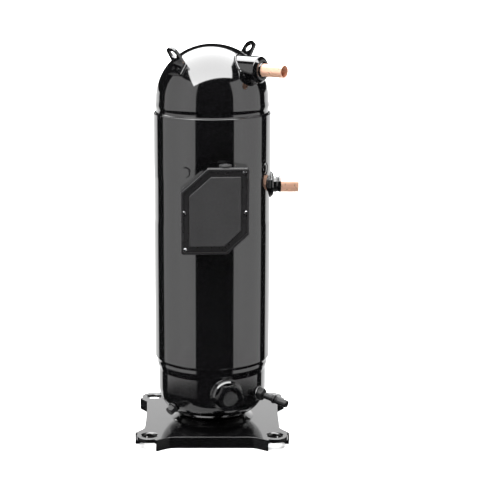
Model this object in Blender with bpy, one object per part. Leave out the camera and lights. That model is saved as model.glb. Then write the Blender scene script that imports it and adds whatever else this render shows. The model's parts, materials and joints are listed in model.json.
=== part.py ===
"""Hermetic scroll compressor on a square mounting plate, built up piece by piece.

Lengths are millimetres and turned into metres by MM; angles are degrees.
The origin is the centre of the four mounting holes, on the underside of the base plate's web.
+Z runs up the shell's axis, the terminal box faces -Y and the suction stub points along +X.
"""

import math

import bmesh
import bpy
from mathutils import Matrix, Vector

MM = 0.001
GAP = 0.3                    # between pieces that touch
MERGE = 1e-6
REACH = 400.0                # longer than anything that a cutter has to pass
PAST = 5.0                   # how far a cutter runs past the face that it opens
LAP = 1.0                    # how far two shapes of one piece run into each other

ROUND = 32                   # sides of the large turned pieces
MEDIUM = 20                  # sides of bearings, stubs and bosses
SMALL = 12                   # sides of screws, pins and small tubes

# Shell and end caps
SHELL_R = 89.0
SHELL_WALL = 3.2
SHELL_LOW = 105.0
SHELL_LENGTH = 379.5
SHELL_HIGH = SHELL_LOW + SHELL_LENGTH
CAP_R = SHELL_R - SHELL_WALL - GAP
CAP_WALL = 3.5
CAP_LAP = 12.0               # length of a cap inside the shell
CAP_NECK = 1.8               # how far the bottom cap draws in below its swell
LOW_R = CAP_R - CAP_NECK
SWELL = 0.9                  # of a cap's wall where it takes the weld
DIP = 0.5                    # of a cap's wall beside the weld
DIP_SPAN = 2.5
BEAD_RISE = 6.5              # height of the weld bead's crown from the shell's rim
TOP_STRAIGHT = 21.0          # straight wall of the top cap above the shell
DOME_HEIGHT = 82.0
DOME_STEPS = 7
KNUCKLE_R = 45.0             # round edge of the bottom cap
KNUCKLE_STEPS = 5

# Base plate
HOLE_PITCH = 190.5
HOLE_R = 10.75
HOLE_RIM_R = 14.0            # drawn rim around each hole
HOLE_RIM_DEPTH = 1.6
HOLE_RIM_RISE = 0.6
HOLE_SIDES = 16
PLATE_T = 3.5
FLANGE_DROP = 14.5           # from the web's underside to the flange's edge
EAR_R = 19.5
EAR_LIP = 2.5
EAR_SWEEP = (-12.0, 102.0)
EAR_NOTCH = 112.0            # angle at which an ear runs into the flange beside it
EAR_JOIN = 3.0
EAR_STEPS = 6
FOLD = 104.0                 # half width of the plate at the middle of a side
FLARE = 118.5                # half width at the flared ends of a flange
FLARE_START = 63.0
FLARE_END = 84.6
SEAT_RISE = 7.7              # height of the pressed ring that carries the bottom cap
SEAT_FOOT_OUT = 64.0
SEAT_TOP_OUT = 50.0
SEAT_TOP_IN = 40.0
SEAT_FOOT_IN = 30.0
GROOVE_FOOT = 2.5            # how much narrower the groove below the ring is, at each foot
GROOVE_CREST = 1.5
CAP_BASE = PLATE_T + SEAT_RISE + GAP

# Scroll set
ORBIT = 5.0                  # eccentricity of the crank pin
WRAP_BASE_R = 3.0            # base circle of the involute
WRAP_T = 4.0
WRAP_HEIGHT = 32.0
WRAP_START = 3.95            # radians of the involute's first point
WRAP_STEP = 0.21            # radians between points
TIP_GAP = 0.4
SEPARATOR_T = 6.0
SEPARATOR_PORT_R = 8.0
SCROLL_PORT_R = 5.0
SEAL_LIFT = 1.0
SEAL_ROOM = 0.4
SEAL_PLAY = 0.4
SEAL_OUT_R = 34.0
SEAL_IN_R = 20.0
SEAL_POCKET = 10.0
SEAL_STEP = 7.0
SEAL_LIP = 1.0
SEAL_CROWN = 4.8
PORT_STEP = 2.0
FIXED_BASE_T = 14.0
FIXED_FLANGE_T = 14.0
WINDOW_HALF = 14.0           # half width of the suction windows in the fixed scroll's wall
WINDOW_LOW = 2.0
WINDOW_HIGH = 6.0
ORBIT_BASE_T = 8.0
THRUST_T = 4.0
RIM_WIDTH = 10.5             # rim of the bearing housing that the fixed scroll sits on
HOUSING_DECK_T = 16.0
HUB_LENGTH = 20.0
HUB_R = 20.0
HUB_WALL = 10.0              # of the housing's hub
HUB_FLARE = 12.0
SLOT_ROOM = 1.0              # beyond the stroke of a key
PASSAGE_R = 7.0
PASSAGE_TURN = 0.5           # radians between a bolt and the gas passage beside it
BOLTS = 4
BOLT_R = 2.5
BOLT_WAY_R = 2.9
BOLT_HEAD_R = 4.2
BOLT_HEAD_T = 4.0
BOLT_TIP = 2.0
KEY_WIDTH = 8.0              # keys of the Oldham ring
KEY_HEIGHT = 4.0
KEY_HALF = 4.0               # half of a key's length along the radius
RING_HALF = 5.0
RING_T = 3.0
BUSH_T = 1.75
DRIVE_BUSH_T = 2.7
BUSH_SHORT = 1.0             # by which a bushing stops short of its hub's ends
PIN_R = 9.0

# Crankshaft and motor
MAIN_R = 16.0
MAIN_LENGTH = 46.0
SHAFT_R = 13.0
LOWER_R = 11.0
OIL_WAY_R = 2.5
OIL_WAY_X = 3.0
PIN_SHORT = 2.0
MAIN_DROP = 4.0              # of the main journal below its bearing
LOWER_RISE = 3.0             # of the lower journal above its bearing
LOWER_HUB = 20.0
PICKUP_R = 4.0
PICKUP_STEP = 1.0
PICKUP_RISE = 8.0
ROTOR_R = 42.3
AIR_GAP = 0.7
CAGE_RING_T = 6.0
CAGE_BARS = 6
BAR_R = 3.0
BAR_CIRCLE_R = 35.0
BAR_PLAY = 0.6
BAR_LAP = 3.0
BAR_TURN = 0.3               # share of a pitch by which the bars are turned
CAGE_IN = 14.0
CAGE_OUT = 1.0
BAR_SIDES = 8
NOTCHES = 4                  # oil return notches of the stator
NOTCH_R = 6.0
WINDING_HEIGHT = 26.0
WINDING_WALL = 9.5           # from the shell's inside to the winding
WINDING_IN = 5.0             # from the stator's bore to the winding
WINDING_FOOT = 2.0
WINDING_SHOULDER = 0.7       # share of the height below the winding's round edge
WINDING_EDGE = (5.0, 6.0)
LOWER_MOTOR_ROOM = 11.0
UPPER_MOTOR_ROOM = 27.0
WEIGHT_T = 13.0
WEIGHT_ROOM = 4.0
WEIGHT_COLLAR = 6.0
WEIGHT_LAP = 3.0
WEIGHT_SPREAD = 80.0
WEIGHT_STEPS = 12
WEIGHT_R = 38.0
SPIDER_T = 10.0
SPIDER_HUB_WALL = 6.0
SPIDER_FLARE = 10.0
SPIDER_WINDOWS = 3
SPIDER_WINDOW_R = 18.0
SPIDER_CIRCLE_R = 50.0

# Terminal box
BOX_WIDTH = 100.0
BOX_HEIGHT = 127.5
BOX_CUT_TOP = (39.5, 35.0)
BOX_CUT_LOW = (32.0, 30.0)
BOX_CORNER_R = 4.0
BOX_CORNER_LEAST = 1.5
BOX_WALL = 2.5
BOX_BACK = 3.0
BOX_AZIMUTH = 2.1
BOX_Z = SHELL_HIGH - 131.2
TRAY_START = 45.0            # of the tray's blank, inside the shell's surface
TRAY_DEPTH = 22.5            # from the shell's surface to the tray's front edge
GASKET_T = 1.4
GASKET_WIDTH = 8.0
GASKET_MARGIN = 0.4
COVER_T = 3.0
PANEL_RISE = 2.6
PANEL_INSET = 13.0
SCREW_PLACES = ((43.5, 58.0), (-46.0, -2.0), (45.6, -1.6), (-44.0, -57.0))
SCREW_R = 1.5
SCREW_HEAD_R = 2.9
SCREW_HEAD_T = 1.4
SCREW_EDGE = 1.0
SCREW_PLAY = 0.4
TIP_ROOM = 1.0
SCREW_LENGTH = 14.0
POST_R = 3.8
POST_SHORT = 0.5
TERMINAL_DROP = 18.0         # of the terminal below the box's centre
TERMINAL_R = 16.5
TERMINAL_DEPTH = 3.0
TERMINAL_RISE = 4.0
TERMINAL_PINS = 3
TERMINAL_CUT = 60.0
TERMINAL_PIN_R = 1.6
TERMINAL_PIN_CIRCLE = 8.5
TERMINAL_PIN_IN = 14.0
TERMINAL_PIN_OUT = 10.0
PLUG_DEPTH = 14.0
PLUG_STEP = 1.0
CONDUIT_X = 15.5
CONDUIT_OUT = 14.0           # of the knockout beyond the shell's surface
CONDUIT_R = 7.0
CONDUIT_DEPTH = 8.0
CONDUIT_CUT = 12.0
CONDUIT_HEAD = ((9.5, 2.2), (8.0, 3.6))

# Suction and discharge connections
SUCTION_Z = SHELL_HIGH - 110.5
SUCTION_STUB_R = 12.0
SUCTION_WALL = 0.9
SUCTION_REACH = 43.0         # of the stub beyond the shell
SUCTION_FLANGE_R = 18.75
SUCTION_FLANGE_REACH = 4.5
SUCTION_FLANGE_DEPTH = 8.0
SUCTION_FLANGE_EDGE = 2.0
DISCHARGE_Z = SHELL_HIGH + 69.0
DISCHARGE_AZIMUTH = 52.0
DISCHARGE_BOSS_R = 19.75
DISCHARGE_BOSS_REACH = 5.5   # beyond the shell's radius
DISCHARGE_BOSS_END = SHELL_R + DISCHARGE_BOSS_REACH
DISCHARGE_BOSS_LENGTH = 54.5
DISCHARGE_BOSS_START = DISCHARGE_BOSS_END - DISCHARGE_BOSS_LENGTH
DISCHARGE_BOSS_EDGE = 4.0
DISCHARGE_STUB_R = 9.5
DISCHARGE_STUB_WALL = 1.2
DISCHARGE_STUB_REACH = 38.5  # beyond the boss
DISCHARGE_END = DISCHARGE_BOSS_END + DISCHARGE_STUB_REACH
VALVE_BORE_R = 13.0
VALVE_PORT_R = 8.0
VALVE_SEAT_DEPTH_IN = 24.5   # of the check valve's seat inside the boss
VALVE_SEAT_PLACE = DISCHARGE_BOSS_END - VALVE_SEAT_DEPTH_IN
VALVE_DISC_R = 11.0
VALVE_DISC_T = 1.5
VALVE_TRAVEL = 3.0
VALVE_STOP_T = 4.0
STUB_SOCKET = 10.0
SOCKET_LAND = 2.0

# Lifting eyes
EYE_AZIMUTH = -47.0
EYE_INSET = 20.0             # of the tab's centre inside the shell's radius
EYE_RADIUS = SHELL_R - EYE_INSET
EYE_T = 4.0
EYE_TAB = (24.0, 20.0)
EYE_LEG = 31.0
EYE_LEAN = 36.0
EYE_HOLE_R = 6.5
EYE_TOP_R = 11.0
EYE_TOP_SWEEP = (15.0, 165.0)
EYE_STEPS = 8
EYE_HOLE_DROP = 1.5
EYE_SEAT = 0.7               # of the tab above the dome at its centre
EYE_FOOT = 0.6               # share of the tab's thickness at which the leg starts
EYE_CUT = 20.0

# Fittings on the bottom cap
GLASS_AZIMUTH = 15.5
GLASS_Z = 62.5
GLASS_BOSS_R = 23.5
GLASS_BOSS_REACH = 3.0       # beyond the shell's radius
GLASS_BOSS_END = SHELL_R + GLASS_BOSS_REACH
GLASS_EDGE = 2.0
GLASS_DEPTH = 15.0           # of the boss inside the cap's surface
GLASS_THREAD_SHORT = 3.0
GLASS_HEX_FLATS = 37.0
GLASS_HEX_LENGTH = 13.0
GLASS_HEX_END = GLASS_BOSS_END + GLASS_HEX_LENGTH
GLASS_THREAD_R = 14.0
GLASS_SIGHT_R = 10.0
GLASS_LENS_R = 12.0
GLASS_LENS_T = 5.0
GLASS_LENS_SINK = 1.5
VALVE_AZIMUTH = 60.0
VALVE_Z = 53.0
VALVE_DROOP = 12.0
VALVE_BOSS_R = 9.5
VALVE_BOSS_REACH = 9.0
VALVE_BOSS_DEPTH = 12.0
VALVE_CUT = 30.0
VALVE_TUBE_R = 4.75
VALVE_TUBE_BORE = 3.0
VALVE_TUBE_DEPTH = 10.0
VALVE_TUBE_SHORT = 6.0
VALVE_NECK = 1.0             # by which the tube is thinner under its cap
VALVE_COLLAR = 1.9
VALVE_COLLAR_SPAN = (5.0, 1.5)
VALVE_SEAT_DEPTH = 8.0
VALVE_CAP_R = 5.75
VALVE_CAP_LENGTH = 20.0
VALVE_CAP_EDGE = 1.0
VALVE_CAP_ROOF = 2.0
VALVE_REACH = 50.0
CORE_TRAVEL = 2.0
CORE_R = 1.2
CORE_ROOM = 0.4
CORE_DEPTHS = (14.0, 12.0, 10.5)
DRAIN_AZIMUTH = -49.0
DRAIN_DROOP = 30.0
DRAIN_BOSS_R = 9.0
DRAIN_FLATS = 13.0
DRAIN_REACH = 12.0
DRAIN_HEX_START = 2.0
DRAIN_DEPTH = 7.0
DRAIN_STEP = 2.0
DRAIN_COLLAR = (0.8, 1.0, 3.5)
DRAIN_CUT = 15.0

# Heights that follow from the stack inside the shell, from the top down
SEPARATOR_LOW = SHELL_HIGH - CAP_LAP - GAP - SEPARATOR_T
FIXED_TOP = SEPARATOR_LOW - SEAL_ROOM - SEAL_LIFT - SEAL_CROWN
FIXED_BASE_LOW = FIXED_TOP - FIXED_BASE_T
FIXED_LOW = FIXED_BASE_LOW - WRAP_HEIGHT
ORBIT_TOP = FIXED_LOW - TIP_GAP
ORBIT_LOW = ORBIT_TOP - ORBIT_BASE_T
DECK = ORBIT_LOW - GAP - THRUST_T - GAP
DECK_LOW = DECK - HOUSING_DECK_T
MAIN_TOP = DECK_LOW - PIN_SHORT
MAIN_LOW = MAIN_TOP - MAIN_LENGTH
CAVITY_R = CAP_R - RIM_WIDTH
BASE_R = CAVITY_R - ORBIT - 1.0
WRAP_WALL_R = CAVITY_R - 8.0
WRAP_OUTER_R = WRAP_WALL_R - ORBIT - 0.5
HUB_IN_R = PIN_R + GAP + DRIVE_BUSH_T + GAP + BUSH_T + GAP
HUB_POCKET_R = HUB_R + ORBIT + 2.0
THRUST_IN_R = HUB_POCKET_R + 2.0
KEY_R = CAVITY_R - 12.0      # of the Oldham ring's keys
RING_IN_R = KEY_R - RING_HALF
RING_OUT_R = KEY_R + RING_HALF
THRUST_OUT_R = RING_IN_R - ORBIT - 1.0
BOLT_CIRCLE_R = CAP_R - RIM_WIDTH / 2

# Heights of the motor, from the bottom up
SPIDER_LOW = SHELL_LOW + CAP_LAP + LAP
SPIDER_HIGH = SPIDER_LOW + SPIDER_T
LOWER_END = SPIDER_LOW - LOWER_HUB
STATOR_LOW = SPIDER_HIGH + LOWER_MOTOR_ROOM + WINDING_HEIGHT
STATOR_HIGH = MAIN_LOW - UPPER_MOTOR_ROOM - WINDING_HEIGHT
UPPER_WEIGHT_LOW = STATOR_HIGH + WINDING_HEIGHT + WEIGHT_ROOM
LOWER_WEIGHT_LOW = STATOR_LOW - CAGE_RING_T - GAP - WEIGHT_T - GAP

FINISHES = {                 # colour, metallic, roughness
    "black_paint": ((0.012, 0.012, 0.013), 0.0, 0.18),
    "cover_plastic": ((0.045, 0.043, 0.046), 0.0, 0.5),
    "copper": ((0.80, 0.46, 0.33), 1.0, 0.3),
    "zinc_steel": ((0.62, 0.62, 0.64), 1.0, 0.35),
    "steel": ((0.50, 0.50, 0.52), 1.0, 0.3),
    "cast_iron": ((0.22, 0.22, 0.23), 0.6, 0.6),
    "aluminium": ((0.78, 0.79, 0.80), 1.0, 0.35),
    "bronze": ((0.60, 0.42, 0.22), 1.0, 0.35),
    "winding_copper": ((0.55, 0.25, 0.12), 0.7, 0.4),
    "lamination": ((0.30, 0.31, 0.34), 0.9, 0.45),
    "rubber": ((0.02, 0.02, 0.02), 0.0, 0.8),
    "seal_plastic": ((0.20, 0.16, 0.12), 0.0, 0.5),
    "glass": ((0.75, 0.85, 0.80), 0.0, 0.05),
}


# ---------------------------------------------------------------- tools

def finish(name):
    """The material of a finish, made the first time that a piece asks for it."""
    material = bpy.data.materials.get(name)
    if material:
        return material
    colour, metallic, roughness = FINISHES[name]
    material = bpy.data.materials.new(name)
    material.use_nodes = True
    shader = material.node_tree.nodes["Principled BSDF"]
    shader.inputs["Base Color"].default_value = (*colour, 1.0)
    shader.inputs["Metallic"].default_value = metallic
    shader.inputs["Roughness"].default_value = roughness
    return material


def put(name, bm, material, parent=None):
    """Object made from a bmesh; without a material it is a cutter."""
    bmesh.ops.remove_doubles(bm, verts=bm.verts, dist=MERGE)
    bmesh.ops.recalc_face_normals(bm, faces=bm.faces)
    mesh = bpy.data.meshes.new(name)
    bm.to_mesh(mesh)
    bm.free()
    mesh.shade_smooth()
    mesh.set_sharp_from_angle(angle=math.radians(30))
    piece = bpy.data.objects.new(name, mesh)
    bpy.context.scene.collection.objects.link(piece)
    piece.parent = parent
    if material:
        mesh.materials.append(finish(material))
    else:
        piece.hide_render = True
        piece.display_type = "WIRE"
    return piece


def turned(name, outline, material=None, sides=MEDIUM, parent=None, at=(0.0, 0.0)):
    """Solid of revolution about local Z; the outline is a closed loop of (radius, height)."""
    bm = bmesh.new()
    points = [bm.verts.new((r * MM, 0.0, z * MM)) for r, z in outline]
    for start, end in zip(points, points[1:] + points[:1]):
        if start.co.x or end.co.x:
            bm.edges.new((start, end))
    bmesh.ops.spin(
        bm, geom=bm.verts[:] + bm.edges[:], cent=(0, 0, 0), axis=(0, 0, 1),
        angle=math.tau, steps=sides, use_merge=True,
    )
    bmesh.ops.translate(bm, verts=bm.verts, vec=(at[0] * MM, at[1] * MM, 0.0))
    return put(name, bm, material, parent)


def rod(name, radius, low, high, material=None, sides=SMALL, parent=None, at=(0.0, 0.0)):
    """Plain cylinder along local Z."""
    outline = ((0.0, low), (radius, low), (radius, high), (0.0, high))
    return turned(name, outline, material, sides, parent, at)


def tube(name, inner, outer, low, high, material=None, sides=MEDIUM, parent=None, at=(0.0, 0.0)):
    """Plain ring or pipe along local Z."""
    outline = ((inner, low), (outer, low), (outer, high), (inner, high))
    return turned(name, outline, material, sides, parent, at)


def extruded(name, outline, low, high, material=None, parent=None, matrix=None):
    """Flat outline in local XY, extruded from one height to another."""
    bm = bmesh.new()
    face = bm.faces.new([bm.verts.new((x * MM, y * MM, low * MM)) for x, y in outline])
    grown = bmesh.ops.extrude_face_region(bm, geom=[face])["geom"]
    moved = [item for item in grown if isinstance(item, bmesh.types.BMVert)]
    bmesh.ops.translate(bm, verts=moved, vec=(0.0, 0.0, (high - low) * MM))
    if matrix:
        bmesh.ops.transform(bm, matrix=matrix, verts=bm.verts)
    return put(name, bm, material, parent)


def block(name, low, high, material=None, parent=None):
    """Box between two corners."""
    outline = ((low[0], low[1]), (high[0], low[1]), (high[0], high[1]), (low[0], high[1]))
    return extruded(name, outline, low[2], high[2], material, parent)


def boolean(piece, other, operation):
    step = piece.modifiers.new(other.name, "BOOLEAN")
    step.operation = operation
    step.solver = "EXACT"
    step.object = other


def cut(piece, *cutters):
    for cutter in cutters:
        boolean(piece, cutter, "DIFFERENCE")
    return piece


def joined(piece, *others):
    """Adds helper shapes to a piece; the helpers are left out of the build as cutters are."""
    for other in others:
        boolean(piece, other, "UNION")
    return piece


def frame(name, azimuth, height, radius=0.0, droop=0.0):
    """Empty whose Z points outwards at an azimuth from -Y towards +X, with X to the right."""
    empty = bpy.data.objects.new(name, None)
    bpy.context.scene.collection.objects.link(empty)
    turn = Matrix.Rotation(math.radians(azimuth), 4, "Z")
    out = Matrix.Translation((0.0, -radius * MM, height * MM))
    face = Matrix.Rotation(math.radians(90.0 + droop), 4, "X")
    empty.matrix_world = turn @ out @ face
    return empty


def upright(name, x, y):
    """Empty on a vertical axis."""
    empty = bpy.data.objects.new(name, None)
    bpy.context.scene.collection.objects.link(empty)
    empty.location = (x * MM, y * MM, 0.0)
    return empty


def polygon(sides, flats, first=0.0):
    """Regular polygon by its width across flats."""
    radius = flats / 2 / math.cos(math.pi / sides)
    angles = [first + math.tau * i / sides for i in range(sides)]
    return [(radius * math.cos(a), radius * math.sin(a)) for a in angles]


def arc(centre, radius, start, end, steps):
    """Points along an arc, both ends included; angles in degrees."""
    angles = [math.radians(start + (end - start) * i / steps) for i in range(steps + 1)]
    return [(centre[0] + radius * math.cos(a), centre[1] + radius * math.sin(a)) for a in angles]


def inset(outline, distance):
    """Counter-clockwise outline moved inwards, each edge staying parallel to itself."""
    moved = []
    for i, corner in enumerate(outline):
        before = (Vector(corner) - Vector(outline[i - 1])).normalized()
        after = (Vector(outline[(i + 1) % len(outline)]) - Vector(corner)).normalized()
        normals = Vector((-before.y, before.x)), Vector((-after.y, after.x))
        step = (normals[0] + normals[1]) / (1.0 + normals[0].dot(normals[1]))
        moved.append(tuple(Vector(corner) + step * distance))
    return moved


def rounded(outline, radius, steps=3):
    """Outline with each corner replaced by a tangent arc, limited by the edges beside it."""
    points = []
    for i, corner in enumerate(outline):
        here = Vector(corner)
        back = Vector(outline[i - 1]) - here
        ahead = Vector(outline[(i + 1) % len(outline)]) - here
        half = back.angle(ahead) / 2
        reach = min(radius / math.tan(half), back.length * 0.45, ahead.length * 0.45)
        start = here + back.normalized() * reach
        end = here + ahead.normalized() * reach
        for k in range(steps + 1):
            t = k / steps
            points.append(tuple((1 - t) ** 2 * start + 2 * t * (1 - t) * here + t * t * end))
    return points


# ---------------------------------------------------------------- casing

def dome_profile(radius, low, height, steps):
    """Quarter ellipse from the straight wall to the crown."""
    angles = [math.pi / 2 * i / steps for i in range(steps + 1)]
    profile = [(radius * math.cos(a), low + height * math.sin(a)) for a in angles]
    profile[-1] = (0.0, low + height)
    return profile


def dome_height(radius):
    """Height of the dome's outside at a distance from the axis."""
    return SHELL_HIGH + TOP_STRAIGHT + DOME_HEIGHT * math.sqrt(1 - (radius / CAP_R) ** 2)


def knuckle_profile(radius, bend, low, steps):
    """Quarter round from the flat bottom to the straight wall."""
    centre = (radius - bend, low + bend)
    return arc(centre, bend, -90.0, 0.0, steps)


def make_top_cap():
    crown = SHELL_HIGH + TOP_STRAIGHT
    outer = [
        (CAP_R, SHELL_HIGH - CAP_LAP),
        (CAP_R, SHELL_HIGH + BEAD_RISE - DIP_SPAN),
        (CAP_R - DIP, SHELL_HIGH + BEAD_RISE),
        (CAP_R + SWELL, SHELL_HIGH + 2 * BEAD_RISE),
    ] + dome_profile(CAP_R, crown, DOME_HEIGHT, DOME_STEPS)
    inner = dome_profile(CAP_R - CAP_WALL, crown, DOME_HEIGHT - CAP_WALL, DOME_STEPS - 2)
    inner = [(CAP_R - CAP_WALL, SHELL_HIGH - CAP_LAP)] + inner
    return turned("top_cap", outer + inner[::-1], "black_paint", ROUND)


def make_bottom_cap():
    outer = [(0.0, CAP_BASE)] + knuckle_profile(LOW_R, KNUCKLE_R, CAP_BASE, KNUCKLE_STEPS)
    outer.append((LOW_R, SHELL_LOW - 2 * BEAD_RISE))
    outer.append((CAP_R + SWELL, SHELL_LOW - BEAD_RISE))
    outer.append((CAP_R, SHELL_LOW - BEAD_RISE + DIP_SPAN))
    outer.append((CAP_R, SHELL_LOW + CAP_LAP))
    inside = knuckle_profile(
        LOW_R - CAP_WALL, KNUCKLE_R - CAP_WALL, CAP_BASE + CAP_WALL, KNUCKLE_STEPS - 1,
    )
    inner = [(0.0, CAP_BASE + CAP_WALL)] + inside + [(LOW_R - CAP_WALL, SHELL_LOW + CAP_LAP)]
    return turned("bottom_cap", outer + inner[::-1], "black_paint", ROUND)


def make_shell():
    inner = SHELL_R - SHELL_WALL
    return tube("shell", inner, SHELL_R, SHELL_LOW, SHELL_HIGH, "black_paint", ROUND)


def plate_outline():
    """Top view: four round ears, and between them sides that bend in and flare at their ends."""
    pitch = HOLE_PITCH / 2
    notch = pitch + EAR_R * math.sin(math.radians(EAR_NOTCH))
    quarter = [(FOLD, -FLARE_START), (FOLD, FLARE_START), (FLARE, FLARE_END)]
    quarter.append((notch, FLARE_END + EAR_JOIN))
    ear = arc((pitch, pitch), EAR_R, *EAR_SWEEP, EAR_STEPS)
    quarter += ear
    quarter.append((FLARE_END + EAR_JOIN, notch))
    quarter.append((FLARE_END, FLARE))
    outline = []
    for turn in range(4):
        c, s = round(math.cos(math.pi / 2 * turn)), round(math.sin(math.pi / 2 * turn))
        outline += [(c * x - s * y, s * x + c * y) for x, y in quarter]
    return outline


def make_base_plate():
    outline = plate_outline()
    crest = PLATE_T + SEAT_RISE
    plate = extruded("base_plate", outline, -FLANGE_DROP, crest, "black_paint")
    above = turned("plate_above", (
        (SEAT_TOP_OUT, crest + PAST), (SEAT_TOP_OUT, crest),
        (SEAT_FOOT_OUT, PLATE_T), (REACH, PLATE_T), (REACH, crest + PAST),
    ), sides=ROUND)
    centre = turned("plate_centre", (
        (0.0, PLATE_T), (SEAT_FOOT_IN, PLATE_T), (SEAT_TOP_IN, crest),
        (SEAT_TOP_IN, crest + PAST), (0.0, crest + PAST),
    ), sides=ROUND)
    groove = turned("plate_groove", (
        (SEAT_FOOT_IN + GROOVE_FOOT, -PAST), (SEAT_FOOT_IN + GROOVE_FOOT, 0.0),
        (SEAT_TOP_IN + GROOVE_CREST, SEAT_RISE), (SEAT_TOP_OUT - GROOVE_CREST, SEAT_RISE),
        (SEAT_FOOT_OUT - GROOVE_FOOT, 0.0), (SEAT_FOOT_OUT - GROOVE_FOOT, -PAST),
    ), sides=ROUND)
    cavity = extruded("plate_cavity", inset(outline, PLATE_T), -FLANGE_DROP - PAST, 0.0)
    cut(plate, above, centre, cavity, groove)
    for i, (x, y) in enumerate(((1, 1), (-1, 1), (-1, -1), (1, -1))):
        low = [min(v * FLARE_END, v * REACH) for v in (x, y)]
        high = [max(v * FLARE_END, v * REACH) for v in (x, y)]
        corner = block(f"ear_trim_{i}", (*low, -FLANGE_DROP - PAST), (*high, -EAR_LIP))
        hole = turned(f"plate_hole_{i}", (
            (0.0, -REACH), (HOLE_R, -REACH), (HOLE_R, PLATE_T - HOLE_RIM_DEPTH),
            (HOLE_RIM_R, PLATE_T + HOLE_RIM_RISE), (HOLE_RIM_R, crest), (0.0, crest),
        ), sides=HOLE_SIDES, at=(x * HOLE_PITCH / 2, y * HOLE_PITCH / 2))
        cut(plate, corner, hole)
    return plate


# ---------------------------------------------------------------- connections

def make_suction(shell):
    axis = frame("suction_axis", 90.0, SUCTION_Z)
    bore = SUCTION_STUB_R + GAP
    end = SHELL_R + SUCTION_FLANGE_REACH
    inside = SHELL_R - SHELL_WALL
    flange = turned("suction_flange", (
        (bore, inside - SUCTION_FLANGE_DEPTH), (SUCTION_FLANGE_R, inside - SUCTION_FLANGE_DEPTH),
        (SUCTION_FLANGE_R, end - SUCTION_FLANGE_EDGE),
        (SUCTION_FLANGE_R - SUCTION_FLANGE_EDGE, end), (bore, end),
    ), "black_paint", MEDIUM, axis)
    cut(flange, rod("suction_saddle", inside, 0.0, REACH * 2, sides=ROUND * 2))
    tube("suction_stub", SUCTION_STUB_R - SUCTION_WALL, SUCTION_STUB_R, inside + LAP,
         SHELL_R + SUCTION_REACH, "copper", MEDIUM, axis)
    cut(shell, rod("suction_opening", SUCTION_FLANGE_R + GAP, inside - SUCTION_FLANGE_DEPTH,
                   end + PAST, sides=MEDIUM, parent=axis))


def make_discharge(top_cap):
    axis = frame("discharge_axis", DISCHARGE_AZIMUTH, DISCHARGE_Z)
    socket = DISCHARGE_STUB_R + GAP
    end = DISCHARGE_BOSS_END
    turned("discharge_boss", (
        (VALVE_PORT_R, DISCHARGE_BOSS_START), (DISCHARGE_BOSS_R, DISCHARGE_BOSS_START),
        (DISCHARGE_BOSS_R, end - DISCHARGE_BOSS_EDGE),
        (DISCHARGE_BOSS_R - DISCHARGE_BOSS_EDGE, end), (socket, end),
        (socket, end - STUB_SOCKET), (VALVE_BORE_R, end - STUB_SOCKET),
        (VALVE_BORE_R, VALVE_SEAT_PLACE), (VALVE_PORT_R, VALVE_SEAT_PLACE),
    ), "black_paint", MEDIUM, axis)
    tube("discharge_stub", DISCHARGE_STUB_R - DISCHARGE_STUB_WALL, DISCHARGE_STUB_R,
         end - STUB_SOCKET + SOCKET_LAND, DISCHARGE_END, "copper", MEDIUM, axis)
    seat = VALVE_SEAT_PLACE + GAP
    rod("check_valve_disc", VALVE_DISC_R, seat, seat + VALVE_DISC_T, "steel", MEDIUM, axis)
    stop = seat + VALVE_DISC_T + VALVE_TRAVEL + GAP
    tube("check_valve_retainer", VALVE_PORT_R, VALVE_BORE_R - GAP, stop, stop + VALVE_STOP_T,
         "steel", MEDIUM, axis)
    cut(top_cap, rod("discharge_opening", DISCHARGE_BOSS_R + GAP, 0.0, REACH,
                     sides=MEDIUM, parent=axis))


def make_lifting_eye(name, azimuth):
    """Bent lug: a tab along the dome and a leg that leans out, with a hole through it."""
    axis = frame(name + "_axis", azimuth, 0.0)
    slope = math.atan2(
        DOME_HEIGHT * EYE_RADIUS / CAP_R, math.sqrt(CAP_R ** 2 - EYE_RADIUS ** 2),
    )
    lie = Matrix.Rotation(math.radians(-90.0) + slope, 4, "X")
    place = Matrix.Translation((0.0, dome_height(EYE_RADIUS) * MM, EYE_RADIUS * MM))
    width, length = EYE_TAB
    tab_outline = ((-width / 2, -length / 2), (width / 2, -length / 2),
                   (width / 2, length / 2), (-width / 2, length / 2))
    tab = extruded(name, tab_outline, EYE_SEAT, EYE_T + EYE_SEAT, "black_paint", axis,
                   place @ lie)
    foot = place @ lie @ Matrix.Translation((0.0, (length / 2 - EYE_T / 2) * MM, EYE_T * EYE_FOOT * MM))
    lean = Matrix.Rotation(math.radians(EYE_LEAN), 4, "X")
    leg_place = Matrix.Translation(foot.to_translation()) @ lean
    top = EYE_LEG - EYE_TOP_R
    leg_outline = [(-width / 2, 0.0), (width / 2, 0.0)]
    leg_outline += arc((0.0, top), EYE_TOP_R, *EYE_TOP_SWEEP, EYE_STEPS)
    leg = extruded(name + "_leg", leg_outline, -EYE_T / 2, EYE_T / 2, None, axis, leg_place)
    hole = rod(name + "_hole", EYE_HOLE_R, -EYE_CUT, EYE_CUT, parent=axis,
               at=(0.0, top - EYE_HOLE_DROP))
    hole.data.transform(leg_place)
    cut(joined(tab, leg), hole)


# ---------------------------------------------------------------- bottom fittings

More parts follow.
